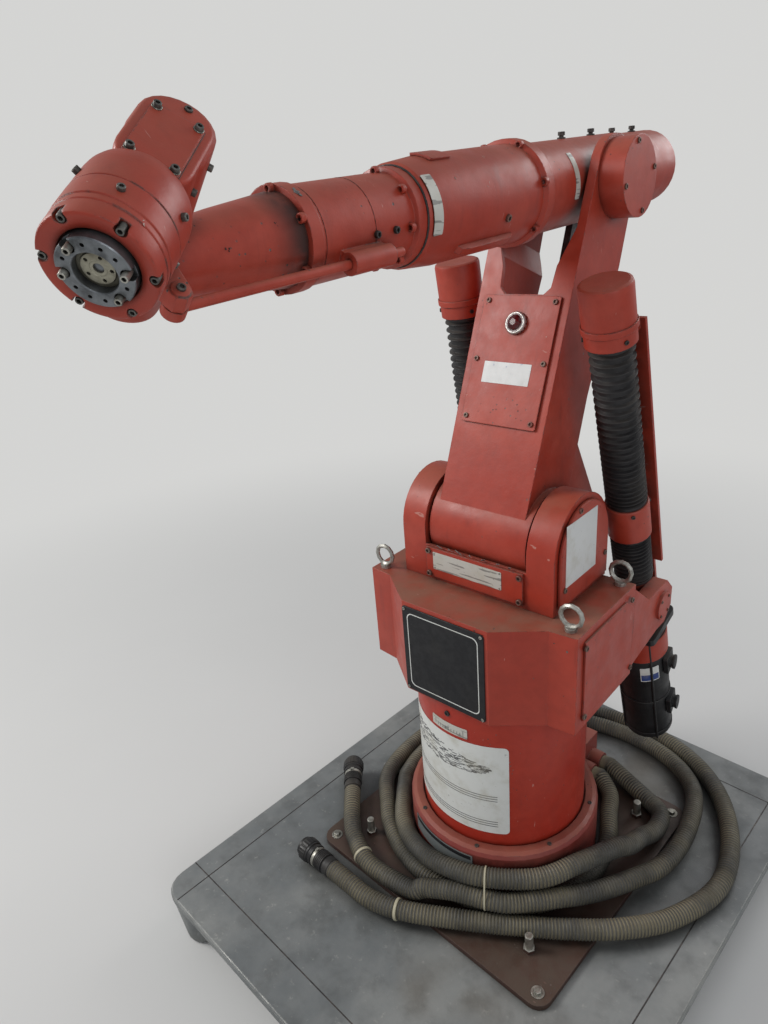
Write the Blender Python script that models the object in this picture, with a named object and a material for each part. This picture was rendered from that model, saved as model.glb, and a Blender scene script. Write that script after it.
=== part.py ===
"""Six-axis arc-welding robot arm on a round pedestal, bolted to a low steel plinth.

Metres, +Z up, the floor at z = 0. The robot faces -Y and its shoulder axis runs along X.
"""

import math

import bmesh
import bpy
from mathutils import Euler, Matrix, Vector

# Clearances
SEAT = 0.0003            # between pieces that bear on each other
TURN = 0.0005            # at bearings, pins and hub faces
RUN = 0.006              # between pieces that move past each other

# Place of the turning axis along Y: the whole model's box is centred on the origin
AXIS_Y = 0.116

# Plinth
DECK_HALF_X = 0.492
DECK_HALF_Y = 0.593
DECK_CENTRE_Y = -0.041
DECK_THICKNESS = 0.023
DECK_CORNER = 0.050
LEG_HEIGHT = 0.112
LEG_RADIUS = 0.060
LEG_FOOT_RADIUS = 0.050
PLINTH_YAW = math.radians(-3.0)

# Base plate and pedestal
BASE_HALF = 0.308
BASE_THICKNESS = 0.012
BASE_CORNER = 0.030
STUD_REACH = 0.222
STUD_RADIUS = 0.008
STUD_HEIGHT = 0.044
NUT_ACROSS = 0.024
NUT_HEIGHT = 0.012
RING_RADIUS = 0.2105
RING_HEIGHT = 0.135
RING_EDGE = 0.012
RING_GROOVE = 0.004
COLUMN_RADIUS = 0.180
COLUMN_SOCKET = 0.010
COLUMN_RISE = 0.335
BOX_HALF_X = 0.075
BOX_DEPTH = 0.112
BOX_HEIGHT = 0.092

# Turret
TURRET_HALF_X = 0.236
TURRET_FRONT = -0.122
TURRET_REAR = 0.106
TURRET_HEIGHT = 0.205
NOSE_REACH = 0.068
NOSE_HALF_FRONT = 0.098
NOSE_HALF_REAR = 0.183
EYE_X = 0.213
EYE_FRONT = -0.104
EYE_REAR = 0.088
EYE_RADIUS = 0.0205
EYE_WIRE = 0.0045
EYE_COLLAR = 0.011
EYE_COLLAR_HEIGHT = 0.008

# Shoulder
SHOULDER_Y = 0.012
SHOULDER_RISE = 0.103
EAR_RADIUS = 0.100
EAR_INNER = 0.114
EAR_OUTER = 0.170
DRUM_RADIUS = 0.093
FLOOR_PLATE = 0.004
FRONT_WALL_HEIGHT = 0.074
FRONT_WALL_THICKNESS = 0.006
COVER_THICKNESS = 0.005
CAP_INSET = 0.011
CAP_THICKNESS = 0.008
STUB_RADIUS = 0.040

# Upper arm
ARM_LENGTH = 0.646
ARM_LEAN = math.radians(20.7)
ARM_HALF = 0.095
ARM_FRONT_LOW = 0.0905
ARM_FRONT_HIGH = 0.0707
ARM_REAR_WAIST = 0.058
ARM_REAR_FORK = 0.080
ARM_WALL = 0.013
CHANNEL_HALF = 0.062
CHANNEL_START = 0.112
FORK_START = 0.427
FORK_HALF_LOW = 0.052
FORK_INNER = 0.0785
FORK_TOP_RADIUS = 0.072
PANEL_HALF = 0.079
PANEL_START = 0.188
PANEL_LENGTH = 0.236
PANEL_THICKNESS = 0.003
LAMP_HEIGHT = 0.374
LAMP_RADIUS = 0.021
LAMP_DOME = 0.0145
ELBOW_CAP_RADIUS = 0.066
ELBOW_CAP_LENGTH = 0.044
ELBOW_STUB = 0.032
ELBOW_LOW = -20.0
ELBOW_HIGH = 25.0

# Forearm, measured forward of the elbow axis
FOREARM_PITCH = math.radians(3.1)
REAR_DRUM_START = -0.330
REAR_DRUM_END = -0.175
REAR_DRUM_RADIUS = 0.0705
HOUSING_RADIUS = 0.073
FLANGE_START = 0.190
FLANGE_RADIUS = 0.083
FLANGE_THICKNESS = 0.020
TUBE_RADIUS = 0.075
TUBE_END = 0.497
TUBE_END_RADIUS = 0.0705

# Rolling part of the forearm
ROLL_ANGLE = math.radians(46.0)
ROLL_FLANGE_RADIUS = 0.066
ROLL_FLANGE_THICKNESS = 0.018
ROLL_TUBE_RADIUS = 0.060
FRONT_FLANGE_START = 0.690
FRONT_FLANGE_RADIUS = 0.0635
FRONT_FLANGE_THICKNESS = 0.019
TAPER_RADIUS = 0.056
TAPER_MIDDLE_RADIUS = 0.047
TAPER_END_RADIUS = 0.043
BEND_AXIS = 0.911
HUB_RADIUS = 0.047
HUB_LOW = -0.046
HUB_HIGH = 0.0195
LEVER_SWEEP = 0.068

# Push rod of the wrist
ROD_REACH = 0.073
ROD_LEVEL = 0.024
ROD_RADIUS = 0.006
ROD_REAR = 0.560
ROD_EYE = 0.013
GUIDE_START = 0.585
GUIDE_LENGTH = 0.075
GUIDE_RADIUS = 0.014

# Wrist
BEND_ANGLE = math.radians(38.6)
LEVER_THICKNESS = 0.030
TOOL_LEVEL = 0.1125
WRIST_RADIUS = 0.062
WRIST_HALF = 0.050
WRIST_REAR = 0.030
WRIST_TOP = 0.161
WRIST_BODY_START = 0.044
WRIST_BODY_END = 0.098
WRIST_NOSE_RADIUS = 0.050
WRIST_NOSE_END = 0.117
PLATE_HALF_X = 0.030
PLATE_HALF_Y = 0.040
PLATE_THICKNESS = 0.004
TOOL_FACE = 0.1385
TOOL_RADIUS = 0.044
TOOL_RECESS_RADIUS = 0.0275
TOOL_RECESS_DEPTH = 0.009
TOOL_BORE = 0.0075

# Ball-screw units
SCREW_X = 0.180
TRUNNION_Y = 0.250
TRUNNION_RISE = -0.118          # below the turret's top
SCREW_TILT = {"right": math.radians(17.4), "left": math.radians(9.2)}
NUT_DISTANCE = {"right": 0.228, "left": 0.256}
BLOCK_HALF = 0.0255
BLOCK_RADIUS = 0.042
TRUNNION_RADIUS = 0.0155
LUG_RADIUS = 0.050
LUG_INNER = 0.132
LUG_GAP_IN = 0.154
LUG_GAP_OUT = 0.206
TRUNNION_COVER_RADIUS = 0.031
TRUNNION_COVER = 0.006
SPINE_OFFSET = 0.047
SPINE_THICKNESS = 0.007
SPINE_HALF = 0.040
HEAD_START = 0.606
HEAD_RADIUS = 0.044
HEAD_HEIGHT = 0.024
CAP_RADIUS = 0.046
CAP_HEIGHT = 0.080
CAP_EDGE = 0.007
NUT_RADIUS = 0.042
NUT_LENGTH = 0.078
BELLOWS_RADIUS = 0.039
BELLOWS_BORE = 0.019
BELLOWS_START = 0.070
SCREW_RADIUS = 0.014
MOTOR_START = -0.058
MOTOR_LENGTH = 0.375
MOTOR_RADIUS = 0.055
MOTOR_FLANGE = 0.058
PIN_RADIUS = 0.014
CRANK_RADIUS = 0.110
LINK_X = -0.030
LINK_HALF_X = 0.015
LINK_WIDTH = 0.034

# Hoses
HOSE_RADIUS = 0.0205
HOSE_LIFT = 0.0015
HOSE_STEP = 0.047
GLAND_RADIUS = 0.0245
GLAND_LENGTH = 0.030
CONNECTOR_RADIUS = 0.0265
CONNECTOR_LENGTH = 0.100

# Levels that follow from the sizes above
DECK_TOP = LEG_HEIGHT + SEAT + DECK_THICKNESS
BASE_BOTTOM = DECK_TOP + SEAT
BASE_TOP = BASE_BOTTOM + BASE_THICKNESS
RING_TOP = BASE_TOP + SEAT + RING_HEIGHT
COLUMN_TOP = RING_TOP + COLUMN_RISE
TURRET_BOTTOM = COLUMN_TOP + TURN
TURRET_TOP = TURRET_BOTTOM + TURRET_HEIGHT
SHOULDER_Z = TURRET_TOP + SHOULDER_RISE
TRUNNION_Z = TURRET_TOP + TRUNNION_RISE
WRIST_FLOOR = HUB_HIGH + TURN + LEVER_THICKNESS + SEAT

PAINT = (0.52, 0.045, 0.03)
PAINT_DULL = (0.36, 0.04, 0.035)
STEEL = (0.42, 0.42, 0.43)
DECK_GREY = (0.23, 0.25, 0.26)
BLACK = (0.02, 0.02, 0.022)
HOSE_BLACK = (0.05, 0.05, 0.045)
LAMP_RED = (0.25, 0.005, 0.005)


def clear_scene():
    for item in list(bpy.data.objects):
        bpy.data.objects.remove(item, do_unlink=True)


def material(name, colour, roughness=0.5, metallic=0.0):
    found = bpy.data.materials.get(name)
    if found:
        return found
    made = bpy.data.materials.new(name)
    made.use_nodes = True
    shader = made.node_tree.nodes["Principled BSDF"]
    shader.inputs["Base Color"].default_value = (*colour, 1.0)
    shader.inputs["Roughness"].default_value = roughness
    shader.inputs["Metallic"].default_value = metallic
    return made


def paint():
    return material("red_paint", PAINT, 0.45)


def dull_paint():
    return material("dull_red_paint", PAINT_DULL, 0.6)


def steel():
    return material("bare_steel", STEEL, 0.35, 1.0)


def rubber():
    return material("black_rubber", BLACK, 0.75)


def empty(name, parent=None, location=(0, 0, 0), rotation=(0, 0, 0)):
    made = bpy.data.objects.new(name, None)
    bpy.context.scene.collection.objects.link(made)
    made.parent = parent
    made.location = location
    made.rotation_euler = Euler(rotation)
    return made


def add_object(name, bm, parent=None, finish=None, location=(0, 0, 0), rotation=(0, 0, 0)):
    """Turn a bmesh into a named object under its parent."""
    bmesh.ops.remove_doubles(bm, verts=bm.verts, dist=1e-6)
    bmesh.ops.recalc_face_normals(bm, faces=bm.faces)
    mesh = bpy.data.meshes.new(name)
    bm.to_mesh(mesh)
    bm.free()
    made = bpy.data.objects.new(name, mesh)
    bpy.context.scene.collection.objects.link(made)
    made.parent = parent
    made.location = location
    made.rotation_euler = Euler(rotation)
    if finish:
        mesh.materials.append(finish)
    return made


def smooth(item, angle=35.0):
    item.data.shade_smooth()
    item.data.set_sharp_from_angle(angle=math.radians(angle))
    return item


# Turning matrices that stand a Z-built shape along another axis
ALONG_X = Matrix.Rotation(math.radians(90.0), 4, "Y")
FORWARD = Matrix.Rotation(math.radians(90.0), 4, "X")


def turned(profile, segments=28, matrix=Matrix.Identity(4)):
    """Solid of revolution about Z from (radius, height) points."""
    bm = bmesh.new()
    points = [(0.0, profile[0][1])] + list(profile) + [(0.0, profile[-1][1])]
    verts = [bm.verts.new((radius, 0.0, height)) for radius, height in points]
    edges = [bm.edges.new(pair) for pair in zip(verts, verts[1:])]
    bmesh.ops.spin(
        bm, geom=verts + edges, cent=(0, 0, 0), axis=(0, 0, 1),
        angle=math.tau, steps=segments, use_merge=True,
    )
    bmesh.ops.remove_doubles(bm, verts=bm.verts, dist=1e-6)
    bmesh.ops.transform(bm, matrix=matrix, verts=bm.verts)
    return bm


def cylinder(radius, low, high, segments=24, matrix=Matrix.Identity(4), edge=0.0):
    profile = [(radius, low), (radius, high)]
    if edge:
        profile = [(radius - edge, low), (radius, low + edge), (radius, high - edge), (radius - edge, high)]
    return turned(profile, segments, matrix)


def prism(outline, low, high, matrix=Matrix.Identity(4)):
    """Extrude a closed (x, y) outline from low to high along Z."""
    bm = bmesh.new()
    face = bm.faces.new([bm.verts.new((x, y, low)) for x, y in outline])
    raised = bmesh.ops.extrude_face_region(bm, geom=[face])["geom"]
    moved = [item for item in raised if isinstance(item, bmesh.types.BMVert)]
    bmesh.ops.translate(bm, vec=(0, 0, high - low), verts=moved)
    bmesh.ops.transform(bm, matrix=matrix, verts=bm.verts)
    return bm


def box(low, high):
    corners = [(low[0], low[1]), (high[0], low[1]), (high[0], high[1]), (low[0], high[1])]
    return prism(corners, low[2], high[2])


def side_plate(outline, low, high):
    """Extrude a (y, z) outline along X."""
    matrix = Matrix(((0, 0, 1, 0), (1, 0, 0, 0), (0, 1, 0, 0), (0, 0, 0, 1)))
    return prism(outline, low, high, matrix)


def arc(centre, radius, start, end, steps):
    """Points on an arc in a plane, angles in degrees."""
    points = []
    for step in range(steps + 1):
        angle = math.radians(start + (end - start) * step / steps)
        points.append((centre[0] + radius * math.cos(angle), centre[1] + radius * math.sin(angle)))
    return points


def rounded_rectangle(half_x, half_y, corner, steps=5, centre=(0.0, 0.0)):
    outline = []
    for number, (sx, sy) in enumerate(((1, 1), (-1, 1), (-1, -1), (1, -1))):
        middle = (centre[0] + sx * (half_x - corner), centre[1] + sy * (half_y - corner))
        outline += arc(middle, corner, 90.0 * number, 90.0 * number + 90.0, steps)
    return outline


def combine(target, tools, operation):
    """Join or cut a solid with others, which are used up."""
    for number, tool in enumerate(tools):
        helper = add_object(f"{target.name}_tool_{number}", tool)
        helper.parent = target
        helper.matrix_parent_inverse = Matrix.Identity(4)
        bpy.context.view_layer.update()
        step = target.modifiers.new(f"tool_{number}", "BOOLEAN")
        step.operation = operation
        step.solver = "EXACT"
        step.object = helper
        graph = bpy.context.evaluated_depsgraph_get()
        result = bpy.data.meshes.new_from_object(target.evaluated_get(graph))
        target.modifiers.clear()
        target.data = result
        bpy.data.objects.remove(helper, do_unlink=True)
    return target


def bevelled(item, width, segments=1, angle=40.0):
    step = item.modifiers.new("edges", "BEVEL")
    step.width = width
    step.segments = segments
    step.limit_method = "ANGLE"
    step.angle_limit = math.radians(angle)
    step.use_clamp_overlap = True
    return item


def make_plinth(root):
    plinth = empty("plinth", root, (0, DECK_CENTRE_Y, 0), (0, 0, PLINTH_YAW))
    outline = rounded_rectangle(DECK_HALF_X, DECK_HALF_Y, DECK_CORNER)
    grey = material("deck_steel", DECK_GREY, 0.6, 0.3)
    deck = add_object("plinth_deck", prism(outline, LEG_HEIGHT + SEAT, DECK_TOP), plinth, grey)
    bevelled(deck, 0.003)
    corners = {"front_right": (1, -1), "front_left": (-1, -1), "rear_right": (1, 1), "rear_left": (-1, 1)}
    for place, (sx, sy) in corners.items():
        leg = turned([(LEG_FOOT_RADIUS - 0.004, 0.0), (LEG_FOOT_RADIUS, 0.006), (LEG_RADIUS, LEG_HEIGHT)], 20)
        spot = (sx * (DECK_HALF_X - LEG_RADIUS), sy * (DECK_HALF_Y - LEG_RADIUS), 0)
        smooth(add_object(f"plinth_foot_{place}", leg, plinth, grey, spot))


def make_base(root):
    base = empty("base", root, (0, 0, 0), (0, 0, PLINTH_YAW))
    outline = rounded_rectangle(BASE_HALF, BASE_HALF, BASE_CORNER)
    plate = add_object("base_plate", prism(outline, BASE_BOTTOM, BASE_TOP), base, dull_paint())
    studs = []
    for sx, sy in ((1, 1), (-1, 1), (-1, -1), (1, -1)):
        place = Matrix.Translation((sx * STUD_REACH, sy * STUD_REACH, BASE_TOP - 0.002))
        studs.append(cylinder(STUD_RADIUS, 0, STUD_HEIGHT, 12, place))
        studs.append(cylinder(NUT_ACROSS / 2, 0, NUT_HEIGHT, 6, place))
    combine(plate, studs, "UNION")

    bottom = BASE_TOP + SEAT
    socket = COLUMN_RADIUS + RING_GROOVE
    ring = add_object("pedestal_foot", turned([
        (RING_RADIUS, bottom), (RING_RADIUS, RING_TOP - RING_EDGE),
        (RING_RADIUS - 0.3 * RING_EDGE, RING_TOP - 0.3 * RING_EDGE),
        (RING_RADIUS - RING_EDGE, RING_TOP),
        (socket, RING_TOP), (socket, RING_TOP - COLUMN_SOCKET),
    ], 40), root, paint())
    smooth(ring)
    low = RING_TOP - COLUMN_SOCKET + SEAT
    column = cylinder(COLUMN_RADIUS, low, COLUMN_TOP, 40)
    smooth(add_object("pedestal_column", column, root, paint()))


def gland_places():
    """Height and Y of the two hose outlets on the cable box's right face."""
    level = BASE_TOP + HOSE_LIFT + HOSE_RADIUS
    near = RING_RADIUS + 0.010 + GLAND_RADIUS
    return {"a": (near, level + 0.008), "b": (near + 2 * HOSE_RADIUS + 0.008, level + 0.008)}


def make_cable_box(root):
    front = RING_RADIUS + SEAT
    bottom = BASE_TOP + SEAT
    body = add_object("cable_box", box(
        (-BOX_HALF_X, front, bottom), (BOX_HALF_X, front + BOX_DEPTH, bottom + BOX_HEIGHT),
    ), root, paint())
    nuts = []
    for y, z in gland_places().values():
        profile = [(GLAND_RADIUS, -0.002), (GLAND_RADIUS, 0.012), (HOSE_RADIUS + 0.003, GLAND_LENGTH)]
        nuts.append(turned(profile, 20, Matrix.Translation((BOX_HALF_X, y, z)) @ ALONG_X))
    combine(body, nuts, "UNION")


def turret_plan():
    """Half outline of the turret from the front centre to the rear, mirrored to a whole one."""
    right = [
        (NOSE_HALF_FRONT, TURRET_FRONT - NOSE_REACH), (NOSE_HALF_REAR, TURRET_FRONT - 0.005),
        (TURRET_HALF_X, TURRET_FRONT), (TURRET_HALF_X, TURRET_REAR),
    ]
    left = [(-x, y) for x, y in reversed(right)]
    return right + left


def make_turret(swing):
    casting = add_object("turret_casting", prism(turret_plan(), TURRET_BOTTOM, TURRET_TOP), swing, paint())
    add_eye_bolts(casting)
    for side, sign in (("right", 1), ("left", -1)):
        face = sign * (TURRET_HALF_X + SEAT)
        outline = [
            (TURRET_FRONT + 0.022, TURRET_BOTTOM + 0.020), (TURRET_REAR - 0.016, TURRET_BOTTOM + 0.020),
            (TURRET_REAR - 0.016, TURRET_TOP - 0.040), (TURRET_REAR - 0.044, TURRET_TOP - 0.018),
            (TURRET_FRONT + 0.022, TURRET_TOP - 0.018),
        ]
        ends = sorted((face, face + sign * 0.004))
        add_object(f"turret_side_cover_{side}", side_plate(outline, *ends), swing, paint())


def eye_ring(place):
    """Ring of a lifting eye, standing across the turret on its collar."""
    ring = bmesh.new()
    circle = bmesh.ops.create_circle(ring, segments=5, radius=EYE_WIRE)["verts"]
    upright = Matrix.Translation((EYE_RADIUS, 0, 0))
    bmesh.ops.transform(ring, matrix=upright @ Matrix.Rotation(math.radians(90.0), 4, "X"), verts=circle)
    bmesh.ops.rotate(ring, verts=ring.verts, cent=(0, 0, 0), matrix=Matrix.Rotation(math.radians(90.0), 3, "X"))
    bmesh.ops.spin(
        ring, geom=ring.verts[:] + ring.edges[:], cent=(0, 0, 0), axis=(0, 1, 0),
        angle=math.tau, steps=12, use_merge=True,
    )
    bmesh.ops.transform(ring, matrix=place, verts=ring.verts)
    bmesh.ops.recalc_face_normals(ring, faces=ring.faces)
    return ring


def add_eye_bolts(casting):
    """Four lifting eyes, each a collar on the turret's top with a ring standing on it."""
    for x in (-EYE_X, EYE_X):
        for y in (EYE_FRONT, EYE_REAR):
            collar = cylinder(EYE_COLLAR, -0.001, EYE_COLLAR_HEIGHT, 12, Matrix.Translation((x, y, TURRET_TOP)))
            middle = TURRET_TOP + EYE_COLLAR_HEIGHT + EYE_RADIUS
            combine(casting, [collar, eye_ring(Matrix.Translation((x, y, middle)))], "UNION")


def ear_outline(inset=0.0, bottom=0.0):
    """Side outline of a shoulder ear: a round top on a straight foot."""
    radius = EAR_RADIUS - inset
    foot = TURRET_TOP + SEAT + bottom
    points = [(SHOULDER_Y + radius, foot)]
    points += arc((SHOULDER_Y, SHOULDER_Z), radius, 0.0, 180.0, 20)
    points.append((SHOULDER_Y - radius, foot))
    return points


def make_shoulder(swing):
    foot = TURRET_TOP + SEAT
    front = SHOULDER_Y - EAR_RADIUS
    housing = add_object("shoulder_housing", side_plate(ear_outline(), EAR_INNER, EAR_OUTER), swing, paint())
    left_ear = side_plate(ear_outline(), -EAR_OUTER, -EAR_INNER)
    lap = 0.004
    floor = box(
        (-EAR_INNER - lap, front + 0.001, foot), (EAR_INNER + lap, SHOULDER_Y + EAR_RADIUS - 0.010, foot + FLOOR_PLATE),
    )
    wall = box(
        (-EAR_INNER - lap, front, foot), (EAR_INNER + lap, front + FRONT_WALL_THICKNESS, foot + FRONT_WALL_HEIGHT),
    )
    combine(housing, [left_ear, floor, wall], "UNION")
    sockets = []
    for side in (1, -1):
        centre = Matrix.Translation((side * EAR_INNER, SHOULDER_Y, SHOULDER_Z)) @ ALONG_X
        sockets.append(cylinder(STUB_RADIUS + TURN, -0.020, 0.020, 24, centre))
    combine(housing, sockets, "DIFFERENCE")
    smooth(housing)

    cover = box(
        (-EAR_INNER + 0.004, front - SEAT - COVER_THICKNESS, foot + 0.008),
        (EAR_INNER - 0.004, front - SEAT, foot + FRONT_WALL_HEIGHT - 0.002),
    )
    add_object("shoulder_front_cover", cover, swing, paint())
    for side, sign in (("right", 1), ("left", -1)):
        ends = sorted((sign * (EAR_OUTER + SEAT), sign * (EAR_OUTER + SEAT + CAP_THICKNESS)))
        cap = add_object(f"shoulder_end_cap_{side}", side_plate(ear_outline(CAP_INSET, 0.014), *ends), swing, paint())
        bevelled(smooth(cap), 0.002)


def lug_outline():
    """Side outline of a trunnion lug, from the turret's rear face round the trunnion."""
    top = TURRET_TOP
    root_face = TURRET_REAR + SEAT
    centre = (TRUNNION_Y, TRUNNION_Z)
    points = [(root_face, TURRET_BOTTOM + 0.016)]
    points += arc(centre, LUG_RADIUS / math.cos(math.pi / 8), -112.5, 112.5, 5)
    points += [(TRUNNION_Y - 0.072, top - 0.070), (root_face, top - 0.012)]
    return points


def make_trunnion_bracket(swing, side, sign):
    outer = side_plate(lug_outline(), *sorted((sign * LUG_GAP_OUT, sign * TURRET_HALF_X)))
    bracket = add_object(f"trunnion_bracket_{side}", outer, swing, paint())
    inner = side_plate(lug_outline(), *sorted((sign * LUG_INNER, sign * LUG_GAP_IN)))
    web_ends = sorted((sign * (LUG_INNER + 0.002), sign * (TURRET_HALF_X - 0.002)))
    root_face = TURRET_REAR + SEAT
    web = box(
        (web_ends[0], root_face, TURRET_BOTTOM + 0.018), (web_ends[1], root_face + 0.020, TURRET_TOP - 0.040),
    )
    centre = Matrix.Translation((sign * TURRET_HALF_X, TRUNNION_Y, TRUNNION_Z)) @ ALONG_X
    cover = cylinder(TRUNNION_COVER_RADIUS, -0.002, TRUNNION_COVER, 24, centre)
    if sign < 0:
        cover = cylinder(TRUNNION_COVER_RADIUS, -TRUNNION_COVER, 0.002, 24, centre)
    combine(bracket, [inner, web, cover], "UNION")
    reach = sorted((-sign * 0.120, -sign * 0.004))
    bore = cylinder(TRUNNION_RADIUS + TURN, reach[0], reach[1], 24, centre)
    combine(bracket, [bore], "DIFFERENCE")
    return smooth(bracket)


def make_screw_unit(swing, side, sign):
    """Tilting ball-screw drive: trunnion block, spine, head, cap, motor, nut and bellows."""
    unit = empty(f"screw_unit_{side}", swing, (sign * SCREW_X, TRUNNION_Y, TRUNNION_Z), (SCREW_TILT[side], 0, 0))
    block = side_plate(arc((0, 0), BLOCK_RADIUS / math.cos(math.pi / 8), 22.5, 337.5, 7), -BLOCK_HALF, BLOCK_HALF)
    frame = add_object(f"screw_frame_{side}", block, unit, paint())
    inner_end = sign * (LUG_INNER + 0.001 - SCREW_X)
    outer_end = sign * (TURRET_HALF_X - 0.005 - SCREW_X)
    ends = sorted((inner_end, outer_end))
    trunnion = cylinder(TRUNNION_RADIUS, ends[0], ends[1], 24, ALONG_X)
    spine_low, spine_high = SPINE_OFFSET, SPINE_OFFSET + SPINE_THICKNESS
    half = BLOCK_HALF - 0.002
    spine = box((-half, spine_low, -0.028), (half, spine_high, HEAD_START + HEAD_HEIGHT - 0.004))
    wide = box((-SPINE_HALF, spine_low, LUG_RADIUS + 0.030), (SPINE_HALF, spine_high, HEAD_START + HEAD_HEIGHT - 0.004))
    foot = box((-half, BLOCK_RADIUS - 0.006, -0.026), (half, spine_low + 0.002, 0.026))
    head = cylinder(HEAD_RADIUS, HEAD_START, HEAD_START + HEAD_HEIGHT, 24)
    bridge = box((-0.030, 0.0, HEAD_START + 0.001), (0.030, spine_low + 0.002, HEAD_START + HEAD_HEIGHT - 0.005))
    bar = BLOCK_HALF - 0.001
    seat = cylinder(bar, MOTOR_START + SEAT, -0.030)
    neck = cylinder(bar, 0.030, BELLOWS_START - SEAT)
    shaft = cylinder(SCREW_RADIUS, BELLOWS_START - 0.004, HEAD_START + 0.004, 16)
    combine(frame, [trunnion, spine, wide, foot, head, bridge, seat, neck, shaft], "UNION")
    smooth(frame)

    cap_base = HEAD_START + HEAD_HEIGHT + SEAT
    cap = turned([
        (CAP_RADIUS, cap_base), (CAP_RADIUS, cap_base + 0.010), (CAP_RADIUS - 0.0015, cap_base + 0.0115),
        (CAP_RADIUS - 0.0015, cap_base + CAP_HEIGHT - CAP_EDGE),
        (CAP_RADIUS - 0.003, cap_base + CAP_HEIGHT - 0.3 * CAP_EDGE),
        (CAP_RADIUS - CAP_EDGE, cap_base + CAP_HEIGHT),
    ], 28)
    smooth(add_object(f"screw_cap_{side}", cap, unit, paint()), 50.0)

    top = MOTOR_START
    flange = top - 0.014
    motor = add_object(f"screw_motor_{side}", turned([
        (MOTOR_RADIUS - 0.004, top - MOTOR_LENGTH), (MOTOR_RADIUS, top - MOTOR_LENGTH + 0.004),
        (MOTOR_RADIUS, top - 0.10), (MOTOR_RADIUS - 0.006, top - 0.096), (MOTOR_RADIUS - 0.006, flange),
    ], 24), unit, material("motor_black", BLACK, 0.5))
    square = prism(rounded_rectangle(MOTOR_FLANGE, MOTOR_FLANGE, 0.012, 3), flange - 0.002, top)
    socket = box((-0.018, 0.030, top - MOTOR_LENGTH + 0.030), (0.018, MOTOR_RADIUS + 0.022, top - MOTOR_LENGTH + 0.075))
    combine(motor, [square, socket], "UNION")
    smooth(motor)

    middle = NUT_DISTANCE[side]
    low, high = middle - NUT_LENGTH / 2, middle + NUT_LENGTH / 2
    nut = add_object(f"screw_nut_{side}", turned([
        (NUT_RADIUS - 0.002, low), (NUT_RADIUS, low + 0.002),
        (NUT_RADIUS, high - 0.002), (NUT_RADIUS - 0.002, high),
    ], 24), unit, paint())
    inward = sorted((-sign * (NUT_RADIUS - 0.012), -sign * NUT_RADIUS))
    boss = cylinder(PIN_RADIUS + 0.008, inward[0], inward[1], 24, Matrix.Translation((0, 0, middle)) @ ALONG_X)
    combine(nut, [boss], "UNION")
    combine(nut, [cylinder(SCREW_RADIUS + TURN, low - 0.01, high + 0.01, 16)], "DIFFERENCE")
    smooth(nut)

    spans = {
        "upper": (high + SEAT, HEAD_START - SEAT),
        "lower": (BELLOWS_START, low - SEAT),
    }
    for part, (start, end) in spans.items():
        bellows = add_object(f"bellows_{part}_{side}", cylinder(BELLOWS_RADIUS, start, end, 20), unit, rubber())
        combine(bellows, [cylinder(BELLOWS_BORE, start - 0.01, end + 0.01, 12)], "DIFFERENCE")
        smooth(bellows)
    return unit


def arm_front(height):
    share = height / ARM_LENGTH
    return -(ARM_FRONT_LOW + (ARM_FRONT_HIGH - ARM_FRONT_LOW) * share)


def arm_outline():
    """Side outline of the upper arm in its own frame: y to the rear, z along the arm."""
    points = [(arm_front(0.0) + 0.002, 0.0), (arm_front(ARM_LENGTH), ARM_LENGTH)]
    points += arc((0, ARM_LENGTH), FORK_TOP_RADIUS, 170.0, 10.0, 12)
    points += [
        (ARM_REAR_FORK, ARM_LENGTH - 0.030), (ARM_REAR_FORK + 0.002, ARM_LENGTH - 0.130),
        (ARM_REAR_WAIST, 0.270), (ARM_REAR_WAIST, 0.0),
    ]
    return points


def pin_place(side):
    """Nut pin's place in the upper arm's frame."""
    trunnion = Vector((TRUNNION_Y, TRUNNION_Z))
    tilt = SCREW_TILT[side]
    nut = trunnion + NUT_DISTANCE[side] * Vector((-math.sin(tilt), math.cos(tilt)))
    rel = nut - Vector((SHOULDER_Y, SHOULDER_Z))
    c, s = math.cos(ARM_LEAN), math.sin(ARM_LEAN)
    return Vector((rel.x * c - rel.y * s, rel.x * s + rel.y * c))


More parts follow.
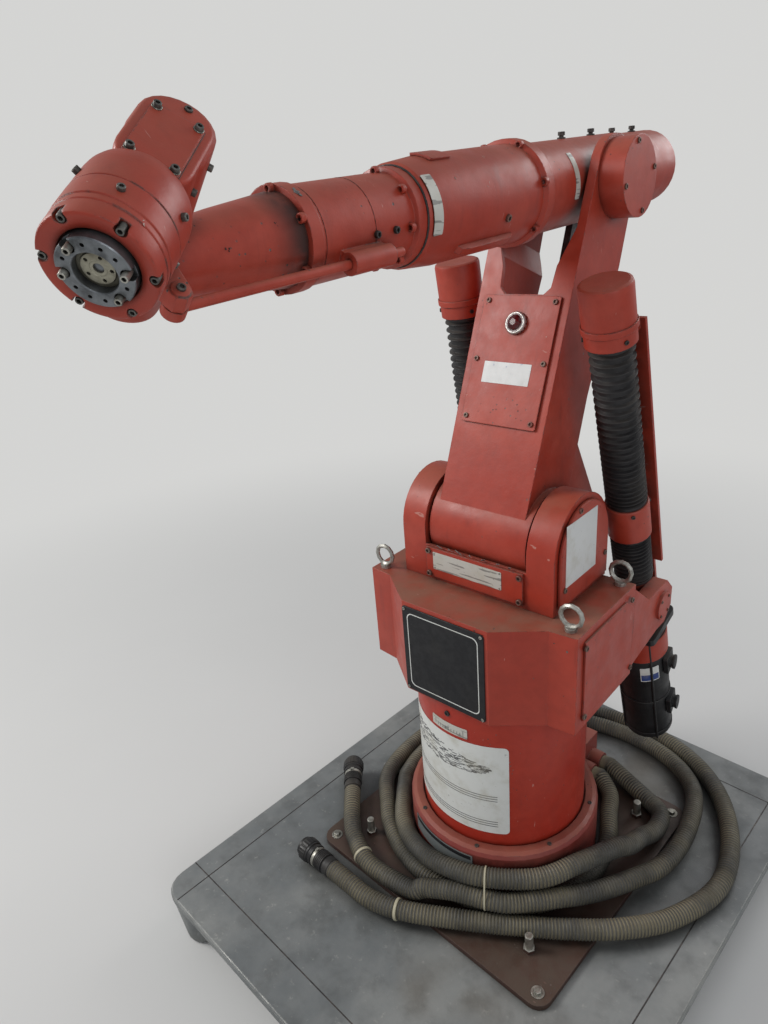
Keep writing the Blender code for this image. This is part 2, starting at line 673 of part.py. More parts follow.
def make_arm(arm):
    body = add_object("upper_arm", side_plate(arm_outline(), -ARM_HALF, ARM_HALF), arm, paint())
    drum_half = EAR_INNER - RUN
    drum = cylinder(DRUM_RADIUS, -drum_half, drum_half, 40, ALONG_X)
    stub = cylinder(STUB_RADIUS, -EAR_INNER - 0.018, EAR_INNER + 0.018, 24, ALONG_X)
    pin = pin_place("right")
    web = [
        (0.030, -0.060), (pin.x - 0.010, pin.y - 0.028), *arc(tuple(pin), 0.030, -70.0, 60.0, 6),
        (ARM_REAR_WAIST, 0.180), (0.030, 0.180),
    ]
    flare = side_plate(web, CHANNEL_HALF, ARM_HALF - 0.001)
    pin_end = SCREW_X - NUT_RADIUS - TURN
    lever_pin = cylinder(PIN_RADIUS, CHANNEL_HALF + 0.004, pin_end, 20, Matrix.Translation((0, *pin)) @ ALONG_X)
    combine(body, [drum, stub, flare, lever_pin], "UNION")

    beyond = 0.30
    channel = side_plate([
        (arm_front(CHANNEL_START) + ARM_WALL, CHANNEL_START), (arm_front(ARM_LENGTH) + ARM_WALL, ARM_LENGTH + beyond),
        (beyond, ARM_LENGTH + beyond), (beyond, CHANNEL_START),
    ], -CHANNEL_HALF, CHANNEL_HALF)
    fork = [
        (FORK_HALF_LOW - 0.012, FORK_START), (FORK_HALF_LOW, FORK_START + 0.012),
        (FORK_HALF_LOW + 0.003, FORK_START + 0.050), (FORK_INNER, FORK_START + 0.115),
        (FORK_INNER, ARM_LENGTH + beyond),
    ]
    outline = fork + [(-x, z) for x, z in reversed(fork)]
    slot = prism(outline, -beyond, beyond, FORWARD)
    hub_gap = LINK_HALF_X + TURN
    pocket = cylinder(0.062, LINK_X - hub_gap, LINK_X + hub_gap, 24, ALONG_X)
    swing_gap = side_plate(
        [(-0.030, -0.052), (beyond, -0.120), (beyond, CHANNEL_START + 0.02), (-0.030, CHANNEL_START + 0.02)],
        LINK_X - LINK_HALF_X - RUN, LINK_X + LINK_HALF_X + RUN,
    )
    elbow = Matrix.Translation((0, 0, ARM_LENGTH)) @ ALONG_X
    bore = cylinder(ELBOW_STUB + TURN, -beyond, beyond, 24, elbow)
    combine(body, [channel, slot, pocket, swing_gap, bore], "DIFFERENCE")
    smooth(body)

    tilt = math.atan2(ARM_FRONT_LOW - ARM_FRONT_HIGH, ARM_LENGTH)
    face = empty("arm_front_face", arm, (0, arm_front(0.0) - SEAT, 0), (-tilt, 0, 0))
    panel = prism(
        rounded_rectangle(PANEL_HALF, PANEL_LENGTH / 2, 0.004, 3, (0, PANEL_START + PANEL_LENGTH / 2)),
        0.0, PANEL_THICKNESS, FORWARD,
    )
    add_object("arm_front_panel", panel, face, paint())
    lamp = turned([
        (LAMP_RADIUS, 0.0), (LAMP_RADIUS, 0.004), (LAMP_RADIUS - 0.004, 0.008), (LAMP_DOME, 0.008),
        (LAMP_DOME * 0.8, 0.012), (LAMP_DOME * 0.4, 0.0145),
    ], 16, Matrix.Translation((0, -PANEL_THICKNESS - SEAT, LAMP_HEIGHT)) @ FORWARD)
    smooth(add_object("arm_lamp", lamp, face, material("lamp_red", LAMP_RED, 0.15)))
    for side, sign in (("right", 1), ("left", -1)):
        ends = sorted((sign * (ARM_HALF + SEAT), sign * (ARM_HALF + SEAT + ELBOW_CAP_LENGTH)))
        cap = cylinder(ELBOW_CAP_RADIUS, ends[0], ends[1], 32, elbow)
        smooth(add_object(f"elbow_cap_{side}", cap, arm, paint()))


def lever_frame():
    """Angle of the elbow lever from the arm's own axis, and its length to the nut pin."""
    pin = pin_place("left")
    return math.atan2(pin.x, pin.y), pin.length


def make_elbow_linkage(arm):
    turn, length = lever_frame()
    lever = empty("elbow_lever_pivot", arm, (0, 0, 0), (-turn, 0, 0))
    half = LINK_WIDTH / 2
    outline = [(-0.040, 0.0), (0.040, 0.0), (half, 0.085), *arc((0, length), half, 0.0, 180.0, 8), (-half, 0.085)]
    plate = side_plate(outline, LINK_X - LINK_HALF_X, LINK_X)
    body = add_object("elbow_lever", plate, lever, material("link_grey", (0.06, 0.055, 0.055), 0.6))
    hub = cylinder(0.056, LINK_X - LINK_HALF_X, LINK_X + LINK_HALF_X, 24, ALONG_X)
    tip = Matrix.Translation((0, 0, length)) @ ALONG_X
    nut_end = -(SCREW_X - NUT_RADIUS - TURN)
    pin = cylinder(PIN_RADIUS, nut_end, LINK_X - 0.004, 20, tip)
    crank = Matrix.Translation((0, 0, CRANK_RADIUS)) @ ALONG_X
    link_pin = cylinder(0.0095, LINK_X - 0.004, LINK_X + LINK_HALF_X, 20, crank)
    combine(body, [hub, pin, link_pin], "UNION")
    smooth(body)

    link = empty("elbow_link_pivot", lever, (0, 0, CRANK_RADIUS), (turn, 0, 0))
    eye = LINK_WIDTH / 2
    rod_low, rod_high = LINK_X + TURN, LINK_X + LINK_HALF_X - TURN
    shape = arc((0, 0), eye, 180.0, 360.0, 10) + arc((0, ARM_LENGTH), eye, 0.0, 180.0, 10)
    rod = add_object("elbow_link_rod", side_plate(shape, rod_low, rod_high), link, material("link_grey", BLACK))
    bores = [
        cylinder(0.0095 + TURN, LINK_X - 0.05, LINK_X + 0.05, 20, Matrix.Translation((0, 0, z)) @ ALONG_X)
        for z in (0.0, ARM_LENGTH)
    ]
    combine(rod, bores, "DIFFERENCE")
    smooth(rod)
    return turn


def make_forearm(elbow, turn):
    """Forearm in its own frame: forward is -Y, so lengths are turned profiles along FORWARD."""
    housing = add_object("forearm_housing", turned([
        (HOUSING_RADIUS, REAR_DRUM_END + SEAT), (HOUSING_RADIUS, FLANGE_START - SEAT),
    ], 36, FORWARD), elbow, paint())
    reach = ARM_HALF - 0.0005
    stub = cylinder(ELBOW_STUB, -reach, reach, 24, ALONG_X)
    combine(housing, [stub], "UNION")

    # The link rod's eye turns on a pin in a slot under the housing
    crank_angle = turn + ARM_LEAN + FOREARM_PITCH
    lug = Vector((CRANK_RADIUS * math.sin(crank_angle), CRANK_RADIUS * math.cos(crank_angle)))
    eye = LINK_WIDTH / 2 + RUN
    slot_low, slot_high = LINK_X - RUN, LINK_X + LINK_HALF_X + RUN
    arm_down = 270.0 - math.degrees(ARM_LEAN + FOREARM_PITCH)
    front, rear = arm_down - ELBOW_HIGH - 2.0, arm_down - ELBOW_LOW + 2.0
    rounded = arc(tuple(lug), eye, rear - 270.0, front - 90.0, 8)
    ends = [
        (point[0] + 0.2 * math.cos(math.radians(way)), point[1] + 0.2 * math.sin(math.radians(way)))
        for point, way in ((rounded[-1], front), (rounded[0], rear))
    ]
    slot = side_plate(rounded + ends, slot_low, slot_high)
    combine(housing, [slot], "DIFFERENCE")
    place = Matrix.Translation((0, *lug)) @ ALONG_X
    combine(housing, [cylinder(0.0095, slot_low - 0.003, slot_high + 0.003, 20, place)], "UNION")
    smooth(housing)

    drum = turned([
        (REAR_DRUM_RADIUS, REAR_DRUM_START), (REAR_DRUM_RADIUS, REAR_DRUM_END),
    ], 32, FORWARD)
    bevelled(smooth(add_object("forearm_rear_drum", drum, elbow, paint())), 0.003)

    tube = add_object("forearm_tube", turned([
        (FLANGE_RADIUS, FLANGE_START), (FLANGE_RADIUS, FLANGE_START + FLANGE_THICKNESS),
        (TUBE_RADIUS + 0.001, FLANGE_START + FLANGE_THICKNESS + 0.004), (TUBE_RADIUS, TUBE_END - 0.060),
        (TUBE_END_RADIUS, TUBE_END - 0.004), (TUBE_END_RADIUS - 0.003, TUBE_END),
    ], 36, FORWARD), elbow, paint())
    smooth(tube)


def make_roll_part(roll):
    start = TUBE_END + TURN
    collar_end = start + ROLL_FLANGE_THICKNESS
    end = FRONT_FLANGE_START + FRONT_FLANGE_THICKNESS
    tube = add_object("roll_tube", turned([
        (ROLL_FLANGE_RADIUS, start), (ROLL_FLANGE_RADIUS, collar_end),
        (ROLL_TUBE_RADIUS, collar_end + 0.003), (ROLL_TUBE_RADIUS, FRONT_FLANGE_START),
        (FRONT_FLANGE_RADIUS, FRONT_FLANGE_START), (FRONT_FLANGE_RADIUS, end),
    ], 32, FORWARD), roll, paint())
    line = Matrix.Translation((ROD_REACH, 0, ROD_LEVEL)) @ FORWARD
    guide = cylinder(GUIDE_RADIUS, GUIDE_START, GUIDE_START + GUIDE_LENGTH, 20, line)
    reach = math.hypot(ROD_REACH, ROD_LEVEL)
    saddle = box((0.050, -GUIDE_START - GUIDE_LENGTH + 0.001, -0.009), (reach, -GUIDE_START - 0.001, 0.009))
    aim = Matrix.Rotation(-math.atan2(ROD_LEVEL, ROD_REACH), 3, "Y")
    bmesh.ops.rotate(saddle, verts=saddle.verts, cent=(0, 0, 0), matrix=aim)
    combine(tube, [guide, saddle], "UNION")
    combine(tube, [cylinder(ROD_RADIUS + TURN, start + 0.030, end + 0.050, 16, line)], "DIFFERENCE")
    smooth(tube)

    neck = add_object("wrist_arm", turned([
        (TAPER_RADIUS, end + SEAT), (TAPER_MIDDLE_RADIUS, BEND_AXIS - 0.111),
        (TAPER_END_RADIUS, BEND_AXIS - 0.081), (TAPER_END_RADIUS, BEND_AXIS),
    ], 32, FORWARD), roll, paint())
    bend = Matrix.Translation((0, -BEND_AXIS, 0))
    combine(neck, [cylinder(LEVER_SWEEP, HUB_HIGH - 0.001, 0.1, 28, bend)], "DIFFERENCE")
    combine(neck, [cylinder(HUB_RADIUS, HUB_LOW, HUB_HIGH, 28, bend, edge=0.003)], "UNION")
    smooth(neck)


def make_push_rod(roll):
    line = Matrix.Translation((ROD_REACH, 0, ROD_LEVEL)) @ FORWARD
    front = BEND_AXIS - ROD_EYE + 0.003
    rod = add_object("push_rod", cylinder(ROD_RADIUS, ROD_REAR, front, 20, line), roll, paint())
    eye = cylinder(ROD_EYE, -ROD_RADIUS, ROD_RADIUS, 24, Matrix.Translation((ROD_REACH, -BEND_AXIS, ROD_LEVEL)))
    combine(rod, [eye], "UNION")
    smooth(rod)


def make_wrist(roll):
    wrist = empty("wrist", roll, (0, -BEND_AXIS, 0), (0, 0, BEND_ANGLE))
    low = HUB_HIGH + TURN
    high = low + LEVER_THICKNESS
    hub = cylinder(HUB_RADIUS - 0.001, low, high, 28)
    lever = add_object("bend_lever", hub, wrist, paint(), (0, 0, 0), (0, 0, -BEND_ANGLE))
    boss_low, boss_high = ROD_LEVEL + ROD_RADIUS + TURN, high
    arm = prism([(0.0, -0.016), (ROD_REACH, -0.013), (ROD_REACH, 0.013), (0.0, 0.016)], boss_low, boss_high)
    tip = cylinder(0.0155, boss_low, boss_high, 24, Matrix.Translation((ROD_REACH, 0, 0)))
    combine(lever, [arm, tip], "UNION")
    smooth(lever)

    housing = add_object("wrist_housing", turned([
        (WRIST_RADIUS - 0.006, WRIST_BODY_START), (WRIST_RADIUS, WRIST_BODY_START + 0.006),
        (WRIST_RADIUS, WRIST_BODY_END - 0.010), (WRIST_RADIUS - 0.010, WRIST_BODY_END),
        (WRIST_NOSE_RADIUS, WRIST_BODY_END), (WRIST_NOSE_RADIUS, WRIST_NOSE_END),
    ], 32, Matrix.Translation((0, 0, TOOL_LEVEL)) @ FORWARD), wrist, paint())
    shell = [(WRIST_HALF, -WRIST_BODY_START - 0.006)]
    shell += arc((0, WRIST_REAR), WRIST_HALF, 0.0, 180.0, 16)
    shell += [(-WRIST_HALF, -WRIST_BODY_START - 0.006)]
    case = prism(shell, WRIST_FLOOR, WRIST_TOP)
    combine(housing, [case], "UNION")
    smooth(housing)

    cover = prism(rounded_rectangle(PLATE_HALF_X, PLATE_HALF_Y, 0.003, 2), WRIST_TOP + SEAT, WRIST_TOP + SEAT + PLATE_THICKNESS)
    add_object("wrist_cover_plate", cover, wrist, paint())

    face = turned([
        (TOOL_RADIUS, WRIST_NOSE_END + TURN), (TOOL_RADIUS, TOOL_FACE - 0.001), (TOOL_RADIUS - 0.001, TOOL_FACE),
        (TOOL_RECESS_RADIUS, TOOL_FACE), (TOOL_RECESS_RADIUS, TOOL_FACE - TOOL_RECESS_DEPTH),
        (TOOL_BORE, TOOL_FACE - TOOL_RECESS_DEPTH), (TOOL_BORE, TOOL_FACE - TOOL_RECESS_DEPTH - 0.008),
    ], 32, Matrix.Translation((0, 0, TOOL_LEVEL)) @ FORWARD)
    smooth(add_object("tool_flange", face, wrist, steel()))


# Hose routes, chosen by hand from the cable box to the connectors: (degrees, radius, lift)
HOSE_A = [
    (52, 0.2685, 0), (40, 0.246, 0), (15, 0.2352, 0), (-20, 0.2352, 0), (-60, 0.2352, 0), (-95, 0.2370, 0),
    (-118, 0.250, 0), (-137, 0.265, 0), (-151, 0.280, 0), (-170, 0.317, 0), (-193, 0.338, 0), (-215, 0.372, 0),
    (-238, 0.422, 0), (-260, 0.462, 0), (-280, 0.502, 0), (-297, 0.526, 0), (-312, 0.526, 0), (-328, 0.502, 0),
    (-344, 0.468, 0), (-360, 0.405, 0), (-376, 0.350, 0), (-394, 0.299, 0), (-412, 0.277, 0), (-422, 0.277, 0),
    (-438, 0.292, 0), (-455, 0.335, 0), (-466, 0.368, 0.002), (-475, 0.392, 0.0065), (-482, 0.416, 0.0065),
]
HOSE_B = [
    (50, 0.340, 0), (39, 0.362, 0), (30, 0.338, 0.005), (22, 0.303, 0.022), (14, 0.285, 0.038), (5, 0.262, 0.058),
    (-15, 0.2375, 0.074), (-40, 0.2352, 0.0755), (-70, 0.2352, 0.0755), (-95, 0.2352, 0.060), (-115, 0.2352, 0.044),
    (-130, 0.2352, 0.037), (-140, 0.2355, 0.029), (-151, 0.239, 0.020), (-165, 0.256, 0.004), (-175, 0.274, 0),
    (-193, 0.295, 0), (-215, 0.328, 0), (-238, 0.376, 0), (-260, 0.416, 0), (-280, 0.454, 0), (-297, 0.480, 0),
    (-312, 0.468, 0), (-328, 0.410, 0), (-344, 0.358, 0.004), (-357, 0.312, 0.012), (-375, 0.275, 0.024),
    (-394, 0.257, 0.037), (-412, 0.2555, 0.038), (-422, 0.2555, 0.038), (-440, 0.257, 0.036),
    (-453, 0.276, 0.022), (-460, 0.294, 0.006), (-479, 0.334, 0), (-492, 0.352, 0), (-500, 0.360, 0.002),
    (-508, 0.367, 0.0065), (-515, 0.378, 0.0065),
]


def under(x, y):
    """Height of what lies under the hoses: the base plate, or the deck beyond its edge."""
    c, s = math.cos(PLINTH_YAW), math.sin(PLINTH_YAW)
    reach = max(abs(x * c + y * s), abs(y * c - x * s)) - BASE_HALF
    share = min(max((reach - 1.5 * HOSE_RADIUS) / 0.045, 0.0), 1.0)
    return BASE_TOP + (DECK_TOP - BASE_TOP) * share


def route_points(route, gland):
    """World points of a hose, straight out of its gland and then along its route."""
    y, z = gland
    start_x = BOX_HALF_X + GLAND_LENGTH + SEAT
    points = [Vector((start_x, y, z)), Vector((start_x + 0.02, y, z))]
    for degrees, radius, lift in route:
        x, y = radius * math.cos(math.radians(degrees)), radius * math.sin(math.radians(degrees))
        points.append(Vector((x, y, under(x, y) + HOSE_RADIUS + HOSE_LIFT + lift)))
    return points


def smooth_curve(points, spacing):
    """Evenly spaced points on a Catmull-Rom curve through the given points."""
    ends = [2 * points[0] - points[1]] + points + [2 * points[-1] - points[-2]]
    fine = []
    for a, b, c, d in zip(ends, ends[1:], ends[2:], ends[3:]):
        for step in range(24):
            t = step / 24
            fine.append(0.5 * (2 * b + (c - a) * t + (2 * a - 5 * b + 4 * c - d) * t**2 + (3 * b - a - 3 * c + d) * t**3))
    fine.append(points[-1])
    total = sum((q - p).length for p, q in zip(fine, fine[1:]))
    count = round(total / spacing)
    wanted = [total * k / count for k in range(count + 1)]
    result, travelled, index = [fine[0]], 0.0, 0
    for goal in wanted[1:-1]:
        while travelled + (fine[index + 1] - fine[index]).length < goal:
            travelled += (fine[index + 1] - fine[index]).length
            index += 1
        step = fine[index + 1] - fine[index]
        result.append(fine[index] + step * ((goal - travelled) / step.length))
    return result + [fine[-1]]


def make_hose(root, name, route, gland):
    marks = route_points(route, gland)
    points = marks[:1] + smooth_curve(marks[1:], HOSE_STEP)
    curve = bpy.data.curves.new(f"hose_{name}", "CURVE")
    curve.dimensions = "3D"
    curve.bevel_depth = HOSE_RADIUS
    curve.bevel_resolution = 2
    curve.use_fill_caps = True
    curve.render_resolution_u = 0
    spline = curve.splines.new("POLY")
    spline.points.add(len(points) - 1)
    for spot, point in zip(spline.points, points):
        spot.co = (*point, 1.0)
    curve.materials.append(material("hose_black", HOSE_BLACK, 0.8))
    hose = bpy.data.objects.new(f"hose_{name}", curve)
    bpy.context.scene.collection.objects.link(hose)
    hose.parent = root

    direction = (points[-1] - points[-2]).normalized()
    start = points[-1] + direction * SEAT
    aim = direction.to_track_quat("Z", "Y").to_matrix().to_4x4()
    shell = turned([
        (HOSE_RADIUS + 0.0005, 0.0), (HOSE_RADIUS + 0.002, 0.003), (HOSE_RADIUS + 0.002, 0.022),
        (CONNECTOR_RADIUS - 0.002, 0.026), (CONNECTOR_RADIUS - 0.002, 0.050), (CONNECTOR_RADIUS, 0.052),
        (CONNECTOR_RADIUS, CONNECTOR_LENGTH), (CONNECTOR_RADIUS - 0.005, CONNECTOR_LENGTH),
        (CONNECTOR_RADIUS - 0.005, CONNECTOR_LENGTH - 0.012),
    ], 16, Matrix.Translation(start) @ aim)
    smooth(add_object(f"hose_connector_{name}", shell, root, rubber()))
    return hose


def main():
    clear_scene()
    root = empty("robot", None, (0, AXIS_Y, 0))
    make_plinth(root)
    make_base(root)
    make_cable_box(root)
    for name, route in (("a", HOSE_A), ("b", HOSE_B)):
        make_hose(root, name, route, gland_places()[name])

    swing = empty("swing", root)
    make_turret(swing)
    make_shoulder(swing)
    for side, sign in (("right", 1), ("left", -1)):
        make_trunnion_bracket(swing, side, sign)
        make_screw_unit(swing, side, sign)

    arm = empty("arm", swing, (0, SHOULDER_Y, SHOULDER_Z), (-ARM_LEAN, 0, 0))
    make_arm(arm)
    turn = make_elbow_linkage(arm)
    elbow = empty("elbow", arm, (0, 0, ARM_LENGTH), (ARM_LEAN + FOREARM_PITCH, 0, 0))
    make_forearm(elbow, turn)
    roll = empty("roll", elbow, (0, 0, 0), (0, ROLL_ANGLE, 0))
    make_roll_part(roll)
    make_push_rod(roll)
    make_wrist(roll)
    bpy.context.view_layer.update()


main()
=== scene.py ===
"""Looks of a six-axis arc-welding robot arm: faded red castings on a worn grey plinth."""

import random
from math import cos, hypot, pi, radians, sin, sqrt, tau

import bmesh
import bpy
from mathutils import Matrix, Vector


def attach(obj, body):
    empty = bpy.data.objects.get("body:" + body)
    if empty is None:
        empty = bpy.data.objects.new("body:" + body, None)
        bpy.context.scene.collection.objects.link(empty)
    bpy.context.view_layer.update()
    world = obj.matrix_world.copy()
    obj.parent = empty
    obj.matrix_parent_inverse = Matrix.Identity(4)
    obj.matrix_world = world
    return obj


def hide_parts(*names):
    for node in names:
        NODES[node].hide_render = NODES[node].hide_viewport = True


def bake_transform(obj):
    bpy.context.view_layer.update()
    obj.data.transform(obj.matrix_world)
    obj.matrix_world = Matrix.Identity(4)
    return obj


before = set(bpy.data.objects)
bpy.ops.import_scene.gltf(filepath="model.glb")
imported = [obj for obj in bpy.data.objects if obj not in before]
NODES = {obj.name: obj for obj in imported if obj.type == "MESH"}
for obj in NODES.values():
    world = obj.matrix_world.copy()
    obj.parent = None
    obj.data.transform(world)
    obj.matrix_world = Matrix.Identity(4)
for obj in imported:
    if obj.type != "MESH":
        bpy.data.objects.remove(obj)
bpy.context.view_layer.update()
SIDES = (("right", 1), ("left", -1))


def move(x, y, z):
    return Matrix.Translation((x, y, z))


def turn(degrees, axis="Z"):
    return Matrix.Rotation(radians(degrees), 4, axis)


# Axes of the moving parts at rest, repeated from the CAD
AXIS_Y = 0.116
PLINTH_YAW = -3.0
WRIST_REACH = 0.911
BASE = move(0, AXIS_Y, 0) @ turn(PLINTH_YAW)
PLINTH = move(0, AXIS_Y - 0.041, 0) @ turn(PLINTH_YAW)
SWING = move(0, AXIS_Y, 0)
ARM = move(0, 0.128, 0.9264) @ turn(-20.7, "X")
ARM_FACE = move(0, 0.04306, 0.9585) @ turn(-22.456, "X")
FOREARM = move(0, 0.35634, 1.5307) @ turn(3.1, "X")
ROLL = FOREARM @ turn(46.0, "Y")
ARM_END = ROLL @ move(0, -WRIST_REACH, 0)
WRIST = ARM_END @ turn(38.6)
SCREW_Y, SCREW_Z = 0.366, 0.7054
SCREW = {
    "right": move(0.18, SCREW_Y, SCREW_Z) @ turn(17.4, "X"),
    "left": move(-0.18, SCREW_Y, SCREW_Z) @ turn(9.2, "X"),
}
SCREW_BODY = {"right": "screw_right", "left": "turret"}
FORWARD = turn(90.0, "X")
ALONG_X = turn(90.0, "Y")
TOOL = WRIST @ move(0, 0, 0.1125) @ FORWARD
DECK_TOP = 0.1353
BASE_TOP = 0.1476
BASE_HALF = 0.308
TURRET_TOP = 0.8234

# Camera
scene = bpy.context.scene
camera_data = bpy.data.cameras.new("camera")
camera_data.lens = 25.28
camera_data.sensor_width = 36.0
camera = bpy.data.objects.new("camera", camera_data)
scene.collection.objects.link(camera)
camera.matrix_world = Matrix((
    (0.746, -0.2108, 0.6316, 0.7122),
    (0.6614, 0.3453, -0.6659, -0.9557),
    (-0.0777, 0.9145, 0.397, 1.5276),
    (0, 0, 0, 1),
))
scene.camera = camera
scene.view_settings.view_transform = "Standard"


def connect(tree, source, socket):
    """Link a socket to another, or give it a value."""
    if isinstance(source, bpy.types.NodeSocket):
        tree.links.new(source, socket)
    elif socket.type == "RGBA":
        socket.default_value = (*source, 1.0)
    else:
        socket.default_value = source


def add_node(tree, kind, inputs, output=0, **settings):
    """A new node with its settings and inputs, of which one output is given back."""
    made = tree.nodes.new(f"ShaderNode{kind}")
    for name, value in settings.items():
        setattr(made, name, value)
    for name, value in inputs.items():
        connect(tree, value, made.inputs[name])
    return made.outputs[output]


def shade(colour, factor, lift=0.0):
    return tuple(min(factor * c + lift, 1.0) for c in colour)


class Nodes:
    """A material under construction, with short calls for the nodes that it needs."""

    def __init__(self, name):
        self.material = bpy.data.materials.new(name)
        self.material.use_nodes = True
        self.tree = self.material.node_tree
        self.shader = self.tree.nodes["Principled BSDF"]
        self.place = self.tree.nodes.new("ShaderNodeTexCoord").outputs

    def add(self, kind, inputs, output=0, **settings):
        return add_node(self.tree, kind, inputs, output, **settings)

    def noise(self, scale, detail=4.0, stretch=(1, 1, 1), roughness=0.6):
        place = self.add("Mapping", {"Vector": self.place["Object"], "Scale": stretch})
        inputs = {"Vector": place, "Scale": scale, "Detail": detail, "Roughness": roughness}
        return self.add("TexNoise", inputs, "Fac")

    def spots(self, scale):
        return self.add("TexVoronoi", {"Vector": self.place["Object"], "Scale": scale}, "Distance")

    def span(self, value, low, high, start=0.0, end=1.0):
        inputs = dict(enumerate((value, low, high, start, end)))
        return self.add("MapRange", inputs, interpolation_type="SMOOTHSTEP")

    def patches(self, noise, span):
        """A noise, drawn out to cover only its higher places."""
        return self.span(self.noise(*noise), *span)

    def maths(self, operation, a, b):
        return self.add("Math", {0: a, 1: b}, operation=operation)

    def times(self, a, b):
        return self.maths("MULTIPLY", a, b)

    def dot(self, a, b):
        return self.add("VectorMath", {0: a, 1: b}, "Value", operation="DOT_PRODUCT")

    def mix(self, share, a, b):
        return self.add("Mix", {0: share, 6: a, 7: b}, 2, data_type="RGBA")

    def over(self, body, colour, noise, span):
        """Lay a colour over another in patches."""
        return self.mix(self.patches(noise, span), body, colour)

    def upright(self, kind):
        """The Z of a place or of a normal."""
        return self.add("SeparateXYZ", {0: self.place[kind]}, 2)

    def edges(self, radius):
        """1 on edges, where wear and a painted highlight go, from how far a rounded normal leans from the
        true one, and that normal.
        """
        rounded = self.add("Bevel", {"Radius": radius}, samples=4)
        lean = self.dot(rounded, self.add("NewGeometry", {}, "Normal"))
        return self.span(lean, 0.985, 0.86), rounded

    def corners(self, distance):
        """1 deep in corners that ambient occlusion finds, where painted shade goes."""
        return self.span(self.add("AmbientOcclusion", {"Distance": distance}, "AO", samples=6), 0.84, 0.34)

    def bump(self, layers, normal=None):
        """Stack bumps of (height, distance in metres, strength)."""
        for height, distance, strength in layers:
            inputs = {"Height": height, "Distance": distance, "Strength": strength}
            if normal is not None:
                inputs["Normal"] = normal
            normal = self.add("Bump", inputs)
        return normal

    def finish(self, colour, roughness, normal=None, metallic=0.0, coat=0.0):
        inputs = {"Base Color": colour, "Roughness": roughness, "Metallic": metallic}
        if coat:
            inputs |= {"Coat Weight": coat, "Coat Roughness": 0.25}
        if normal is not None:
            inputs["Normal"] = normal
        for name, value in inputs.items():
            connect(self.tree, value, self.shader.inputs[name])
        return self.material


# Colours of dust, oil and wear, and near-black painted shade for corners
RED_DUST, TURRET_DUST, BASE_DUST = (0.33, 0.115, 0.07), (0.24, 0.125, 0.08), (0.08, 0.062, 0.043)
BLACK_DUST = (0.1, 0.085, 0.065)
# Painted shade: near-black laid deep in corners of paint, metal and deck
CORNER_SHADE, METAL_CORNER_SHADE, DECK_CORNER_SHADE = (0.022, 0.014, 0.01), (0.03, 0.025, 0.02), (0.035, 0.032, 0.026)
OIL = (0.016, 0.013, 0.011)
SCRATCHED = (0.55, 0.3, 0.25)
PRIMER, OLD_STEEL = (0.035, 0.022, 0.018), (0.15, 0.115, 0.1)
BARE_STEEL, STAINED_STEEL = (0.5, 0.49, 0.45), (0.26, 0.25, 0.22)


def painted(name, colour, faded, dust=0.55, corner_shade=0.7, steel_above=None, wear=0.0, dust_colour=RED_DUST,
            oily=None):
    """Old brush-touched enamel on castings: faded patches, dust on top, chips and a painted highlight on
    edges, painted shade in corners.
    """
    n = Nodes(name)
    body = n.over(colour, faded, (5.0, 5.0), (0.35, 0.68))
    body = n.over(body, shade(colour, 0.62), (38.0, 6.0), (0.3, 0.75, 0.0, 0.35))
    body = n.over(body, shade(colour, 0.45, 0.006), (9.0, 5.0, (4.0, 4.0, 0.6)), (0.58, 0.78, 0.0, 0.4))
    upward = n.span(n.upright("Normal"), 0.35, 0.95)
    dusty = n.times(upward, n.patches((14.0, 8.0), (0.25, 0.7, 0.35, 1.0)))
    body = n.mix(n.times(dusty, dust), body, dust_colour)
    body = n.mix(n.times(n.patches((16.0, 3.0, (1.0, 9.0, 1.2), 0.8), (0.7, 0.72)), 0.55), body, SCRATCHED)
    # Painted shade deep in corners, broken into patches
    shaded_corners = n.times(n.corners(0.04), n.patches((22.0, 6.0), (0.28, 0.55, 0.3, 1.0)))
    body = n.mix(n.times(shaded_corners, corner_shade), body, CORNER_SHADE)
    if oily is not None:
        centre, direction, start, end = oily
        origin = centre.dot(direction)
        smear = n.span(n.dot(n.place["Object"], direction), origin + end, origin + start)
        smear = n.times(smear, n.patches((8.0, 6.0), (0.3, 0.55)))
        body = n.mix(n.times(smear, 0.93), body, OIL)
    edge, rounded = n.edges(0.0022)
    worn = n.times(edge, n.patches((60.0, 6.0), (0.5 - wear, 0.6 - wear)))
    ragged = n.maths("ADD", n.spots(29.0), n.patches((150.0, 3.0), (0.3, 0.7, -0.045, 0.06)))
    nicks = n.times(n.span(ragged, 0.072, 0.05), n.patches((3.4, 2.0), (0.5, 0.58)))
    specks = n.times(n.span(n.spots(95.0), 0.16, 0.1), n.patches((5.0, 3.0), (0.56, 0.64)))
    chips = n.maths("MAXIMUM", n.maths("MAXIMUM", worn, nicks), specks)
    # Painted highlight: every edge a little lighter
    body = n.mix(n.times(edge, 0.3), body, shade(faded, 1.45, 0.02))
    body = n.mix(chips, body, n.over(PRIMER, OLD_STEEL, (90.0,), (0.4, 0.65)))
    rough = n.maths("MAXIMUM", n.patches((20.0, 6.0), (0.25, 0.75, 0.36, 0.56)), n.times(dusty, 0.75))
    metallic = 0.0
    if steel_above is not None:
        bare = n.span(n.upright("Object"), steel_above, steel_above + 0.0004)
        body = n.mix(bare, body, n.over(BARE_STEEL, STAINED_STEEL, (70.0, 5.0), (0.35, 0.7)))
        metallic = n.times(bare, 0.85)
    normal = n.bump([
        (n.noise(26.0, 4.0), 0.0025, 0.22), (n.noise(420.0, 2.0), 0.0003, 0.35),
        (n.maths("SUBTRACT", 1.0, chips), 0.0004, 0.8),
    ], rounded)
    return n.finish(body, rough, normal, metallic, 0.06)


